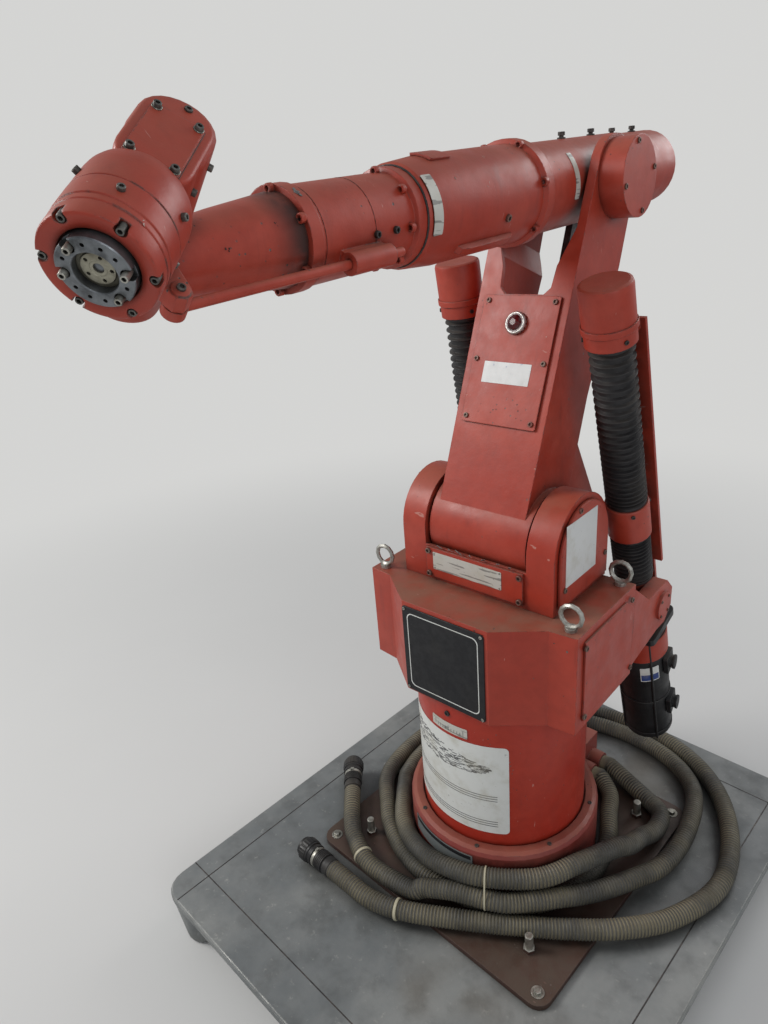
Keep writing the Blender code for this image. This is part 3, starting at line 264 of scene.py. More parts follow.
def metal(name, colour, stained, rough=(0.28, 0.5), metallic=0.9):
    n = Nodes(name)
    body = n.over(colour, stained, (45.0, 6.0), (0.35, 0.7))
    edge, rounded = n.edges(0.001)
    # Painted highlight on every edge, then painted shade in corners
    body = n.mix(n.times(edge, 0.5), body, shade(colour, 1.5))
    body = n.mix(n.times(n.corners(0.01), 0.7), body, METAL_CORNER_SHADE)
    grain = n.noise(300.0, 3.0)
    return n.finish(body, n.span(grain, 0.3, 0.7, *rough), n.bump([(grain, 0.0003, 0.3)], rounded), metallic)


def dark(name, colour, dust_colour, dust, rough, groove=None):
    """Black plastic or rubber with dust on its upper side, or in the valleys that an attribute marks."""
    n = Nodes(name)
    body = n.over(colour, shade(colour, 1.7, 0.004), (30.0, 6.0), (0.35, 0.7))
    upward = n.span(n.upright("Normal"), -0.1, 0.95, 0.08, 1.0)
    dusty = n.times(upward, n.patches((12.0, 8.0), (0.35, 0.68)))
    if groove:
        mark = n.add("Attribute", {}, "Fac", attribute_name=groove)
        valley = n.times(mark, n.patches((5.0, 6.0), (0.36, 0.6, 0.22, 1.0)))
        dusty = n.maths("MAXIMUM", n.times(dusty, 0.3), valley)
    body = n.mix(n.times(dusty, dust), body, dust_colour)
    edge, rounded = n.edges(0.001)
    # Painted highlight: every edge pale grey
    body = n.mix(n.times(edge, 0.22), body, (0.2, 0.19, 0.17))
    fine = n.noise(260.0, 3.0)
    return n.finish(body, n.patches((25.0,), (0.3, 0.7, *rough)), n.bump([(fine, 0.0003, 0.4)], rounded))


def deck_metal(name):
    """Blue-grey painted plate: pale scuffs, dark stains, cloudy fading and bright worn edges."""
    n = Nodes(name)
    body = n.over((0.15, 0.163, 0.166), (0.25, 0.258, 0.25), (3.2, 6.0), (0.35, 0.68))
    for colour, noise, span in (
        ((0.085, 0.09, 0.088), (17.0, 8.0), (0.4, 0.8, 0.0, 0.7)),
        ((0.4, 0.4, 0.37), (70.0, 6.0), (0.6, 0.75, 0.0, 0.45)),
        ((0.36, 0.37, 0.36), (6.0, 5.0, (1, 14, 1), 0.8), (0.66, 0.72, 0.0, 0.35)),
        ((0.16, 0.135, 0.1), (2.1, 3.0), (0.58, 0.72, 0.0, 0.5)),
    ):
        body = n.over(body, colour, noise, span)
    # Painted shade in corners and round what stands on the deck
    body = n.mix(n.times(n.corners(0.06), 0.75), body, DECK_CORNER_SHADE)
    edge, rounded = n.edges(0.0035)
    worn = n.times(edge, n.patches((50.0, 6.0), (0.3, 0.55)))
    body = n.mix(worn, body, (0.52, 0.51, 0.47))
    normal = n.bump([(n.noise(9.0, 3.0), 0.003, 0.25), (n.noise(180.0, 4.0), 0.0004, 0.5)], rounded)
    return n.finish(body, n.patches((12.0, 6.0), (0.3, 0.7, 0.38, 0.66)), normal, n.times(worn, 0.7))


def printed(name, colour, ink, line_scale=0.0, yellowed=(0.45, 0.42, 0.33), rough=(0.3, 0.5)):
    """A worn label or plate, bare apart from scuffs."""
    n = Nodes(name)
    body = n.over(colour, yellowed, (24.0, 6.0), (0.45, 0.8, 0.0, 0.6))
    body = n.over(body, ink, (120.0, 4.0), (0.66, 0.74, 0.0, 0.8))
    if line_scale:
        body = n.over(body, ink, (line_scale, 2.0, (1, 1, 9), 0.3), (0.6, 0.63, 0.0, 0.75))
    return n.finish(body, n.patches((60.0,), (0.3, 0.7, *rough)), n.bump([(n.noise(200.0), 0.0002, 0.3)]))


def glass(name, colour, deep):
    n = Nodes(name)
    n.shader.inputs["Transmission Weight"].default_value = 0.35
    n.shader.inputs["IOR"].default_value = 1.49
    return n.finish(n.over(colour, deep, (50.0,), (0.4, 0.7)), 0.18, coat=0.5)


FRESH_RED, FADED_RED = (0.38, 0.032, 0.013), (0.44, 0.058, 0.032)
# Where oil has run over the wrist arm: a line along it, and how far out the smear starts and is full
NECK_SMEAR = (ROLL.to_translation(), -ROLL.to_3x3().col[1], 0.712, 0.765)
RED = painted("worn_red_enamel", FRESH_RED, FADED_RED)
RED_WORN = painted("rubbed_red_enamel", FRESH_RED, FADED_RED, 0.7, 0.8, wear=0.22)
RED_BRIGHT = painted("repainted_red_enamel", (0.4, 0.022, 0.008), (0.42, 0.034, 0.014), 0.3, 0.45)
RED_OILY = painted("oil_smeared_red_enamel", FRESH_RED, FADED_RED, oily=NECK_SMEAR)
RED_TURRET = painted("turret_red_enamel", FRESH_RED, (0.42, 0.052, 0.028), 0.8, 0.6, TURRET_TOP + 0.0006,
                     dust_colour=TURRET_DUST)
RED_DULL = painted("dusty_red_enamel", (0.24, 0.036, 0.028), (0.3, 0.07, 0.052), 0.6, 0.6)
MAROON = painted("oily_maroon_enamel", (0.07, 0.018, 0.013), (0.075, 0.038, 0.026), 0.62, 0.85,
                 BASE_TOP + 0.008, dust_colour=BASE_DUST)
STEEL = metal("machined_steel", (0.58, 0.57, 0.55), (0.36, 0.34, 0.31))
OILY_STEEL = metal("oily_flange_steel", (0.23, 0.245, 0.26), (0.075, 0.08, 0.085), (0.3, 0.5), 0.75)
PALE_STEEL = metal("pale_pilot_plate", (0.42, 0.4, 0.31), (0.2, 0.18, 0.13), (0.4, 0.6), 0.5)
ZINC = metal("galvanised_steel", (0.48, 0.47, 0.42), (0.22, 0.21, 0.18), (0.35, 0.6))
BLACKENED = metal("blackened_steel", (0.035, 0.034, 0.035), (0.11, 0.095, 0.085), (0.38, 0.6), 0.5)
LINK = metal("grey_link_steel", (0.16, 0.16, 0.165), (0.07, 0.065, 0.06), (0.4, 0.6), 0.4)
RUBBED = metal("rubbed_bare_metal", (0.25, 0.235, 0.23), (0.12, 0.085, 0.078), (0.4, 0.6), 0.6)
HALF_PAINTED = metal("half_painted_screw", (0.2, 0.15, 0.12), (0.16, 0.035, 0.025), (0.4, 0.6), 0.4)
GRIMY = metal("grimy_screw", (0.17, 0.165, 0.15), (0.055, 0.05, 0.045), (0.35, 0.6), 0.6)
MOTOR_BLACK = dark("satin_black_enamel", (0.007, 0.007, 0.008), BLACK_DUST, 0.4, (0.4, 0.65))
RUBBER = dark("black_bellows_rubber", (0.012, 0.011, 0.012), (0.1, 0.085, 0.07), 0.45, (0.42, 0.62))
HOSE = dark("dusty_conduit", (0.026, 0.027, 0.028), (0.33, 0.285, 0.18), 0.95, (0.5, 0.75), "groove")
DECK = deck_metal("blue_grey_deck")
WHITE_PRINT = printed("white_sticker", (0.72, 0.73, 0.7), (0.3, 0.3, 0.29))
WHITE_END = printed("white_end_label", (0.66, 0.67, 0.66), (0.2, 0.2, 0.22))
WHITE_ARM = printed("white_arm_label", (0.68, 0.69, 0.68), (0.16, 0.22, 0.42))
PALE_PLATE = printed("pale_plate", (0.55, 0.54, 0.49), (0.16, 0.15, 0.14), 26.0)
BLACK_PLATE = printed("black_nameplate", (0.006, 0.006, 0.008), (0.05, 0.05, 0.05), 0.0,
                      (0.016, 0.015, 0.014), (0.5, 0.7))
GREY_PLATE = printed("grey_plate", (0.16, 0.175, 0.175), (0.05, 0.05, 0.05), 0.0, (0.2, 0.19, 0.16))
BLUE_PRINT = printed("blue_print", (0.03, 0.06, 0.22), (0.2, 0.2, 0.22))
TIE = printed("old_nylon", (0.5, 0.46, 0.33), (0.3, 0.26, 0.18))
INK = printed("ruled_ink", (0.1, 0.1, 0.105), (0.35, 0.35, 0.34))
PALE_CHIP = printed("pale_chip", (0.5, 0.36, 0.31), (0.62, 0.55, 0.5))
DARK_CHIP = printed("dark_chip", (0.03, 0.02, 0.017), (0.09, 0.05, 0.035), 0.0, (0.05, 0.025, 0.018),
                    (0.5, 0.8))
LAMP = glass("red_lamp_glass", (0.12, 0.005, 0.008), (0.05, 0.003, 0.004))


def both(*names):
    return [f"{name}_{side}" for name in names for side, _ in SIDES]


FINISHES = {
    RED: ["upper_arm", "arm_front_panel", "forearm_housing", "forearm_rear_drum", "forearm_tube", "roll_tube",
          "push_rod", "shoulder_housing"] + both(
              "elbow_cap", "shoulder_end_cap", "screw_cap", "screw_frame", "screw_nut", "trunnion_bracket"),
    RED_WORN: ["shoulder_front_cover"],
    RED_TURRET: ["turret_casting"] + both("turret_side_cover"),
    RED_BRIGHT: ["pedestal_column"],
    RED_DULL: ["pedestal_foot", "cable_box"],
    MAROON: ["base_plate"],
    MOTOR_BLACK: ["hose_connector_a", "hose_connector_b"] + both("screw_motor"),
    RUBBER: both("bellows_upper", "bellows_lower"),
    HOSE: ["hose_a", "hose_b"],
    LINK: ["elbow_lever", "elbow_link_rod"],
    DECK: ["plinth_deck"] + both("plinth_foot_front", "plinth_foot_rear"),
    LAMP: ["arm_lamp"],
}
for finish, names in FINISHES.items():
    for name in names:
        node = NODES[name]
        for place in node.material_slots:
            place.material = finish
        if "custom_normal" in node.data.attributes:
            node.data.attributes.remove(node.data.attributes["custom_normal"])
        node.data.shade_smooth()
        weld = node.modifiers.new("weld", "WELD")
        weld.merge_threshold = 0.00002
        split = node.modifiers.new("sharp_edges", "EDGE_SPLIT")
        split.split_angle = radians(19)
        split.use_edge_sharp = False


def circle(radius, height, sides, odd=1.0):
    """Points of a ring about Z, of which every second one may be drawn in."""
    ring = []
    for number in range(sides):
        angle, reach = tau * number / sides, radius * (odd if number % 2 else 1.0)
        ring.append((reach * cos(angle), reach * sin(angle), height))
    return ring


def turned(profile, segments=28, matrix=Matrix.Identity(4)):
    """Solid of revolution about Z from (radius, height) points."""
    bm = bmesh.new()
    points = [(0.0, profile[0][1])] + list(profile) + [(0.0, profile[-1][1])]
    verts = [bm.verts.new((radius, 0.0, height)) for radius, height in points]
    edges = [bm.edges.new(pair) for pair in zip(verts, verts[1:])]
    bmesh.ops.spin(
        bm, geom=verts + edges, cent=(0, 0, 0), axis=(0, 0, 1),
        angle=tau, steps=segments, use_merge=True,
    )
    bmesh.ops.remove_doubles(bm, verts=bm.verts, dist=1e-6)
    bmesh.ops.transform(bm, matrix=matrix, verts=bm.verts)
    return bm


def loft(rings, matrix=Matrix.Identity(4), capped=True):
    """Skin closed rings of equal length, with flat ends."""
    bm = bmesh.new()
    made = [[bm.verts.new(point) for point in ring] for ring in rings]
    for ring, other in zip(made, made[1:]):
        for number in range(len(ring)):
            after = (number + 1) % len(ring)
            bm.faces.new((ring[number], ring[after], other[after], other[number]))
    if capped:
        bm.faces.new(made[0])
        bm.faces.new(made[-1])
    bmesh.ops.transform(bm, matrix=matrix, verts=bm.verts)
    return bm


def looped(rings, matrix):
    """Skin closed rings, the last joined to the first."""
    bm = loft(rings + rings[:1], matrix, capped=False)
    bmesh.ops.remove_doubles(bm, verts=bm.verts, dist=1e-7)
    return bm


def rounded_rectangle(half_x, half_y, corner, steps=4):
    outline = []
    for number, (sx, sy) in enumerate(((1, 1), (-1, 1), (-1, -1), (1, -1))):
        for step in range(steps + 1):
            angle = radians(90.0 * (number + step / steps))
            outline.append((
                sx * (half_x - corner) + corner * cos(angle), sy * (half_y - corner) + corner * sin(angle),
            ))
    return outline


def plate(outline, low, high, matrix, edge=0.0):
    """Flat plate from an (x, y) outline, with its upper edge broken by a small chamfer."""
    middle_x = sum(x for x, _ in outline) / len(outline)
    middle_y = sum(y for _, y in outline) / len(outline)
    shrink = 1.0 - edge / max(hypot(x - middle_x, y - middle_y) for x, y in outline)
    inner = [(middle_x + (x - middle_x) * shrink, middle_y + (y - middle_y) * shrink) for x, y in outline]
    rings = [[(x, y, low) for x, y in outline], [(x, y, high - edge) for x, y in outline]]
    if edge:
        rings.append([(x, y, high) for x, y in inner])
    return loft(rings, matrix)


def tablet(half_x, half_y, corner, low, high, matrix, edge=0.0):
    """Flat rounded rectangle, for labels and covers."""
    return plate(rounded_rectangle(half_x, half_y, corner), low, high, matrix, edge)


def frame_strip(outline, width, low, high, matrix):
    """A closed line of even width along a rounded outline."""
    share_x, share_y = (1 - width / max(point[axis] for point in outline) for axis in (0, 1))
    inner = [(x * share_x, y * share_y) for x, y in outline]
    lines = ((outline, low), (outline, high), (inner, high), (inner, low))
    return looped([[(x, y, z) for x, y in line] for line, z in lines], matrix)


def curved_plate(radius, thickness, start, end, low, high, matrix, corner=0.0):
    """A rounded label wrapped on a cylinder about Z: angles in degrees, a closed shell."""
    columns, corner_steps = 24, 6
    half = radians(end - start) / 2 * radius
    stations = {round(-half + 2 * half * step / columns, 7) for step in range(columns + 1)}
    if corner:
        for step in range(corner_steps):
            reach = half - corner * (1 - sin(radians(90 * (step + 1) / corner_steps)))
            stations |= {round(reach, 7), round(-reach, 7)}
    lines = []
    for across in sorted(stations):
        trim = 0.0
        if corner and abs(across) > half - corner:
            trim = corner - sqrt(max(corner**2 - (abs(across) - half + corner) ** 2, 0.0))
        angle = radians((start + end) / 2) + across / radius
        bottom, top, outer = low + trim, high - trim, radius + thickness
        corners = ((radius, bottom), (outer, bottom), (outer, top), (radius, top))
        lines.append([(r * cos(angle), r * sin(angle), z) for r, z in corners])
    return loft(lines, matrix)


def ring_band(radius, low, high, depth, matrix, segments=48, edge=0.0008):
    """A band round a cylinder about Z."""
    inner, outer = radius - 0.0005, radius + depth
    profile = ((inner, low), (outer - edge, low), (outer, low + edge), (outer, high - edge),
               (outer - edge, high), (inner, high))
    return looped([circle(r, z, segments) for r, z in profile], matrix)


def stadium(half, front_y, rear_y):
    """Outline of a case with two round ends."""
    outline = []
    for centre, first in ((rear_y, 0), (front_y, 180)):
        for step in range(13):
            angle = radians(first + 15 * step)
            outline.append((half * cos(angle), centre + half * sin(angle)))
    return outline


def domed(half, front_y, rear_y, low, high, rounding, matrix):
    """A round-ended block with a rolled upper edge."""
    rings = [[(x, y, low) for x, y in stadium(half, front_y, rear_y)]]
    for step in range(6):
        lean = radians(18 * step)
        level = high - rounding + rounding * sin(lean)
        outline = stadium(half - rounding * (1 - cos(lean)), front_y, rear_y)
        rings.append([(x, y, level) for x, y in outline])
    return loft(rings, matrix)


def socket_screw(radius, height, matrix):
    """Cap screw head with a hexagon socket, standing on z = 0."""
    sides, flat = 12, cos(pi / 6)
    steps = ((1, -0.0004, 1), (1, height * 0.86, 1), (0.9, height, 1), (0.6, height, flat),
             (0.56, height * 0.35, flat))
    return loft([circle(radius * share, level, sides, odd) for share, level, odd in steps], matrix)


def hexagon_bolt(across, height, washer, matrix):
    """Hexagon bolt head with a chamfered top, and its washer."""
    radius, rim = across / sqrt(3), across * 0.98
    head = ((1.0, washer - 0.0001), (1.0, washer + height * 0.82), (0.87, washer + height))
    return [turned([(rim, -0.0004), (rim, washer)], 20, matrix),
            loft([circle(radius * share, level, 6) for share, level in head], matrix)]


def joined(shapes):
    """Put shapes together, free them and turn all faces outward."""
    bm = bmesh.new()
    for shape in shapes:
        held = bpy.data.meshes.new("held")
        shape.to_mesh(held)
        shape.free()
        bm.from_mesh(held)
        bpy.data.meshes.remove(held)
    bmesh.ops.recalc_face_normals(bm, faces=bm.faces)
    return bm


def add_object(name, bm):
    mesh = bpy.data.meshes.new(name)
    bm.to_mesh(mesh)
    bm.free()
    made = bpy.data.objects.new(name, mesh)
    scene.collection.objects.link(made)
    return made


def drill(made, cutters):
    """Cut shapes out of an object."""
    holes = add_object("holes", joined(cutters))
    cut = made.modifiers.new("holes", "BOOLEAN")
    cut.operation = "DIFFERENCE"
    cut.solver = "EXACT"
    cut.object = holes
    bpy.context.view_layer.update()
    result = bpy.data.meshes.new_from_object(made.evaluated_get(bpy.context.evaluated_depsgraph_get()))
    made.modifiers.clear()
    made.data = result
    result.set_sharp_from_angle(angle=radians(32))
    bpy.data.objects.remove(holes, do_unlink=True)


def piece(name, shapes, body, finish, slot="bare_steel", smooth_angle=35.0, cutters=()):
    """Join shapes into one named piece, drill it where asked, and let it ride on a body."""
    made = add_object(name, joined(shapes))
    made.data.materials.append(finish)
    made.data.shade_smooth()
    made.data.set_sharp_from_angle(angle=radians(smooth_angle))
    if cutters:
        drill(made, cutters)
    if body:
        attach(made, body)
    return made


# Screws, gathered per body and finish
SCREWS = {}


def add_shapes(body, finish, shapes):
    SCREWS.setdefault((body, finish), []).extend(shapes)


def add_screws(body, places, radius, height, finish="black"):
    add_shapes(body, finish, [socket_screw(radius, height, place) for place in places])


def around(angle, radius, along):
    """A place on a forward-lying cylinder: its Z points outward, angle in degrees from the top towards +X."""
    return turn(angle, "Y") @ move(0, -along, radius)


def four(place, x, y, z=0.0):
    """The four places at plus or minus x and y."""
    return [place @ move(sx * x, sy * y, z) for sx in (-1, 1) for sy in (-1, 1)]


def ring_of(centre, angles, place):
    """A place repeated round the Z of a centre."""
    return [centre @ turn(degrees) @ place for degrees in angles]


# Conduits: routes round the base axis, repeated from the CAD as (degrees, radius, lift where there is one)
HOSE_RADIUS = 0.0205
HOSE_LIFT = 0.0015
HOSE_STEP = 0.047
RIB_PITCH = 0.0069
RIB_DEPTH = 0.0026
RIB_STEPS = ((1.0, 1.0), (0.25, 0.35), (0.0, 0.0), (0.25, 0.35))
PLATE_FALL = 0.045
GLAND_X = (0.1053, 0.1253)
GLANDS = {"a": (AXIS_Y + 0.245, 0.1776), "b": (AXIS_Y + 0.294, 0.1776)}
ROUTES = {
    "a": [
        (52, 0.2685), (40, 0.246), (15, 0.2352), (-20, 0.2352), (-60, 0.2352), (-95, 0.237), (-118, 0.25),
        (-137, 0.265), (-151, 0.28), (-170, 0.317), (-193, 0.338), (-215, 0.372), (-238, 0.422),
        (-260, 0.462), (-280, 0.502), (-297, 0.526), (-312, 0.526), (-328, 0.502), (-344, 0.468),
        (-360, 0.405), (-376, 0.35), (-394, 0.299), (-412, 0.277), (-422, 0.277), (-438, 0.292),
        (-455, 0.335), (-466, 0.368, 0.002), (-475, 0.392, 0.0065), (-482, 0.416, 0.0065),
    ],
    "b": [
        (50, 0.34), (39, 0.362), (30, 0.338, 0.005), (22, 0.303, 0.022), (14, 0.285, 0.038),
        (5, 0.262, 0.058), (-15, 0.2375, 0.074), (-40, 0.2352, 0.0755), (-70, 0.2352, 0.0755),
        (-95, 0.2352, 0.06), (-115, 0.2352, 0.044), (-130, 0.2352, 0.037), (-140, 0.2355, 0.029),
        (-151, 0.239, 0.02), (-165, 0.256, 0.004), (-175, 0.274), (-193, 0.295), (-215, 0.328),
        (-238, 0.376), (-260, 0.416), (-280, 0.454), (-297, 0.48), (-312, 0.468), (-328, 0.41),
        (-344, 0.358, 0.004), (-357, 0.312, 0.012), (-375, 0.275, 0.024), (-394, 0.257, 0.037),
        (-412, 0.2555, 0.038), (-422, 0.2555, 0.038), (-440, 0.257, 0.036), (-453, 0.276, 0.022),
        (-460, 0.294, 0.006), (-479, 0.334), (-492, 0.352), (-500, 0.36, 0.002), (-508, 0.367, 0.0065),
        (-515, 0.378, 0.0065),
    ],
}
CONNECTOR = [(0.02, 0.0), (0.0212, 0.0015), (0.0212, 0.016), (0.0196, 0.018), (0.0196, 0.0195)]
for rib in range(5):
    at = 0.0205 + 0.0042 * rib
    CONNECTOR += [(0.0228, at), (0.0228, at + 0.0026), (0.0214, at + 0.003), (0.0214, at + 0.004)]
CONNECTOR += [
    (0.0205, 0.044), (0.0205, 0.052), (0.0238, 0.054), (0.0238, 0.0585), (0.0225, 0.06), (0.0225, 0.064),
    (0.025, 0.0655), (0.025, 0.07), (0.0212, 0.071), (0.0212, 0.0985), (0.019, 0.0998), (0.0172, 0.0998),
    (0.0168, 0.09),
]
# Grip of the connector: (radius, height, depth of its flutes)
FLUTE = 0.0011
GRIP = ((0.0214, 0.0708, 0), (0.0262, 0.0708, FLUTE), (0.0265, 0.0722, FLUTE), (0.0265, 0.0885, FLUTE),
        (0.0255, 0.09, FLUTE), (0.0214, 0.09, 0))
CLAMP_LUG = [(-0.004, 0.0205), (0.004, 0.0205), (0.004, 0.0255), (-0.004, 0.0255)]


def under(x, y):
    """Height of what lies under the conduits: the base plate, or the deck beyond its edge."""
    c, s = cos(radians(PLINTH_YAW)), sin(radians(PLINTH_YAW))
    beyond = max(abs(x * c + y * s), abs(y * c - x * s)) - BASE_HALF
    share = min(max((beyond - 1.5 * HOSE_RADIUS) / PLATE_FALL, 0.0), 1.0)
    return BASE_TOP + (DECK_TOP - BASE_TOP) * share


def smooth_curve(points, spacing):
    """Evenly spaced points on a Catmull-Rom curve through the given points."""
    parts = 24
    ends = [2 * points[0] - points[1]] + points + [2 * points[-1] - points[-2]]
    fine = []
    for a, b, c, d in zip(ends, ends[1:], ends[2:], ends[3:]):
        square, cube = 2 * a - 5 * b + 4 * c - d, 3 * b - a - 3 * c + d
        for step in range(parts):
            t = step / parts
            fine.append(0.5 * (2 * b + (c - a) * t + square * t**2 + cube * t**3))
    fine.append(points[-1])
    total = sum((q - p).length for p, q in zip(fine, fine[1:]))
    count = round(total / spacing)
    result, travelled, index = [fine[0]], 0.0, 0
    for goal in [total * k / count for k in range(1, count)]:
        while travelled + (fine[index + 1] - fine[index]).length < goal:
            travelled += (fine[index + 1] - fine[index]).length
            index += 1
        step = fine[index + 1] - fine[index]
        result.append(fine[index] + step * ((goal - travelled) / step.length))
    return result + [fine[-1]]


def sweep(points, radii, sides, marks):
    """A tube along points with its own radius at each, and a value per ring kept as an attribute."""
    normal = (points[1] - points[0]).orthogonal().normalized()
    rings = []
    for number, (point, radius) in enumerate(zip(points, radii)):
        before, after = points[max(number - 1, 0)], points[min(number + 1, len(points) - 1)]
        along = (after - before).normalized()
        normal = (normal - along * normal.dot(along)).normalized()
        side = along.cross(normal)
        rings.append([point + normal * x + side * y for x, y, _ in circle(radius, 0, sides)])
    bm = loft(rings)
    layer = bm.verts.layers.float.new("groove")
    for number, vert in enumerate(bm.verts):
        vert[layer] = marks[number // sides]
    return bm


ROUTE_LINES = {}
for letter, route in ROUTES.items():
    marks = [Vector((x, *GLANDS[letter])) for x in GLAND_X]
    for degrees, radius, *rise in route:
        x, y = radius * cos(radians(degrees)), radius * sin(radians(degrees))
        marks.append(Vector((x, y + AXIS_Y, under(x, y) + HOSE_RADIUS + HOSE_LIFT + sum(rise))))
    coarse = marks[:1] + smooth_curve(marks[1:], HOSE_STEP)
    line = marks[:1] + smooth_curve(marks[1:], RIB_PITCH / len(RIB_STEPS))
    ROUTE_LINES[letter] = line
    steps = [RIB_STEPS[number % len(RIB_STEPS)] for number in range(len(line))]
    radii = [HOSE_RADIUS - RIB_DEPTH * depth for depth, _ in steps]
    tube = sweep(line, radii, 16, [mark for _, mark in steps])
    hose = piece(f"conduit_{letter}", [tube], "base", HOSE, "hose_black", 60.0)
    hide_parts(f"hose_{letter}")

    direction = (coarse[-1] - coarse[-2]).normalized()
    aim = move(*(coarse[-1] + direction * 0.0003)) @ direction.to_track_quat("Z", "Y").to_matrix().to_4x4()
    grip = loft([circle(radius, height, 48, 1 - flute / radius) for radius, height, flute in GRIP], aim)
    core = turned(CONNECTOR, 32, aim)
    plug = piece(f"connector_{letter}", [core, grip], "base", MOTOR_BLACK, "black_rubber", 30.0)
    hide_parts(f"hose_connector_{letter}")
    clamp = piece(f"connector_clamp_{letter}", [
        ring_band(0.0205, 0.044, 0.052, 0.0016, aim), plate(CLAMP_LUG, 0.045, 0.051, aim),
    ], "base", ZINC)

# Studio floor: it keeps the shadow near the object and fades into the backdrop far from it
PALE = (0.66, 0.66, 0.65)
FLOOR_HALF = 9.0
n = Nodes("studio_floor")
ground = n.finish(n.mix(n.noise(2.0), (0.62, 0.62, 0.61), (0.65, 0.65, 0.64)), 0.75)
distance = n.add("VectorMath", {0: n.place["Object"]}, "Value", operation="LENGTH")
far = n.times(n.span(distance, 1.1, 3.6), n.add("LightPath", {}, "Is Camera Ray"))
glow = n.add("Emission", {"Color": PALE})
surface = n.add("MixShader", {0: far, 1: n.shader.outputs[0], 2: glow})
connect(n.tree, surface, n.tree.nodes["Material Output"].inputs["Surface"])
bm = bmesh.new()
bmesh.ops.create_grid(bm, x_segments=1, y_segments=1, size=FLOOR_HALF)
floor = add_object("studio_floor", bm)
floor.data.materials.append(ground)

world = bpy.data.worlds.new("studio")
scene.world = world
world.use_nodes = True
tree = world.node_tree
background = tree.nodes["Background"]
connect(tree, (0.8, 0.82, 0.85), background.inputs["Color"])
connect(tree, 0.42, background.inputs["Strength"])
backdrop = add_node(tree, "Background", {"Color": PALE, "Strength": 1.0})
rays = [add_node(tree, "LightPath", {}, f"Is {kind} Ray") for kind in ("Camera", "Transmission")]
seen = add_node(tree, "Math", dict(enumerate(rays)), operation="MAXIMUM")
choice = add_node(tree, "MixShader", {0: seen, 1: background.outputs[0], 2: backdrop})
connect(tree, choice, tree.nodes["World Output"].inputs["Surface"])

# Soft lamps: (name, place, target, size, power, colour)
for name, place, target, size, power, colour in (
    ("window_light", (-2.6, -1.9, 3.0), (0, 0, 0.9), 1.6, 88.0, (1.0, 0.985, 0.96)),
    ("fill_light", (2.8, -1.6, 2.3), (0, 0, 0.8), 2.2, 26.0, (0.95, 0.97, 1.0)),
    ("back_light", (0.8, 3.0, 2.6), (0, 0.2, 0.9), 1.8, 34.0, (1, 1, 1)),
):
    data = bpy.data.lights.new(name, "AREA")
    data.shape = "DISK"
    data.size = size
    data.energy = power
    data.color = colour
    lamp = bpy.data.objects.new(name, data)
    scene.collection.objects.link(lamp)
    lamp.location = place
    lamp.rotation_euler = (Vector(target) - Vector(place)).to_track_quat("-Z", "Y").to_euler()

# Ridged bellows on the ball screws: the fixed end and the nut's end on each screw's axis
BELLOWS = {
    "upper_right": (0.606, 0.267), "lower_right": (0.07, 0.189),
    "upper_left": (0.606, 0.295), "lower_left": (0.07, 0.217),
}
BELLOWS_PITCH = {"upper": 0.013, "lower": 0.0098}
CUFF, CUFF_RADIUS, VALLEY_RADIUS = 0.006, 0.0372, 0.0328
CROWDING = 1.25
# One fold as (radius, share of its length)
FOLD = ((VALLEY_RADIUS, 0.1), (0.033, 0.34), (0.0362, 0.44), (0.0389, 0.52), (0.0389, 0.62), (0.0362, 0.7),
        (0.033, 0.8))
for name, (fixed, nut) in BELLOWS.items():
    part, side = name.split("_")
    low, high = sorted((fixed, nut))
    low, high = low + 0.0005, high - 0.0005
    folded = high - low - 2 * CUFF
    count = round(folded / BELLOWS_PITCH[part])
    # Folds sit closer together towards the nut
    levels = []
    for number in range(count + 1):
        share = number / count
        eased = share**CROWDING if nut < fixed else 1 - (1 - share) ** CROWDING
        levels.append(low + CUFF + folded * eased)
    profile = [(CUFF_RADIUS, low), (CUFF_RADIUS, low + CUFF)]
    for bottom, top in zip(levels, levels[1:]):
        profile += [(radius, bottom + share * (top - bottom)) for radius, share in FOLD]
    profile += [(VALLEY_RADIUS, high - CUFF), (CUFF_RADIUS, high - CUFF), (CUFF_RADIUS, high)]
    sleeve = turned(profile, 36, SCREW[side])
    cover = piece(f"ridged_bellows_{name}", [sleeve], None, RUBBER, "black_rubber", 50.0)
    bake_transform(cover)
    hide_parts(f"bellows_{name}")


def polar(degrees, radius, height=0.0):
    """A place on a circle round the tool axis."""
    return TOOL @ turn(degrees) @ move(radius, 0, height)


def bores(radius, low, high, sides, places):
    return [turned([(radius, low), (radius, high)], sides, place) for place in places]


# Tool flange: a grey steel ring with four deep-set screws, round a recessed pilot plate
FLANGE_RADIUS, FLANGE_FACE = 0.0325, 0.1385
FLANGE_SCREWS, FLANGE_CIRCLE = (-30, 30, 150, 210), 0.0262
NOTCH = rounded_rectangle(0.007, 0.005, 0.0049, 6)
notches = [plate(NOTCH, 0.1312, 0.15, polar(angle, FLANGE_CIRCLE + 0.0022)) for angle in FLANGE_SCREWS]
FLANGE_HOLES, PILOT_HOLES = (0, 62, 90, 122, 180, 242, 270, 298), (20, 92, 164, 236, 308)
pins = bores(0.0019, 0.125, 0.15, 14, [polar(angle, 0.0258) for angle in FLANGE_HOLES])
ring = piece("detailed_tool_flange", [turned([
    (FLANGE_RADIUS, 0.119), (FLANGE_RADIUS, FLANGE_FACE - 0.001), (FLANGE_RADIUS - 0.001, FLANGE_FACE),
    (0.0195, FLANGE_FACE), (0.0187, FLANGE_FACE - 0.0008), (0.0187, 0.129),
], 64, TOOL)], "flange", OILY_STEEL, cutters=notches + pins)
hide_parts("tool_flange")
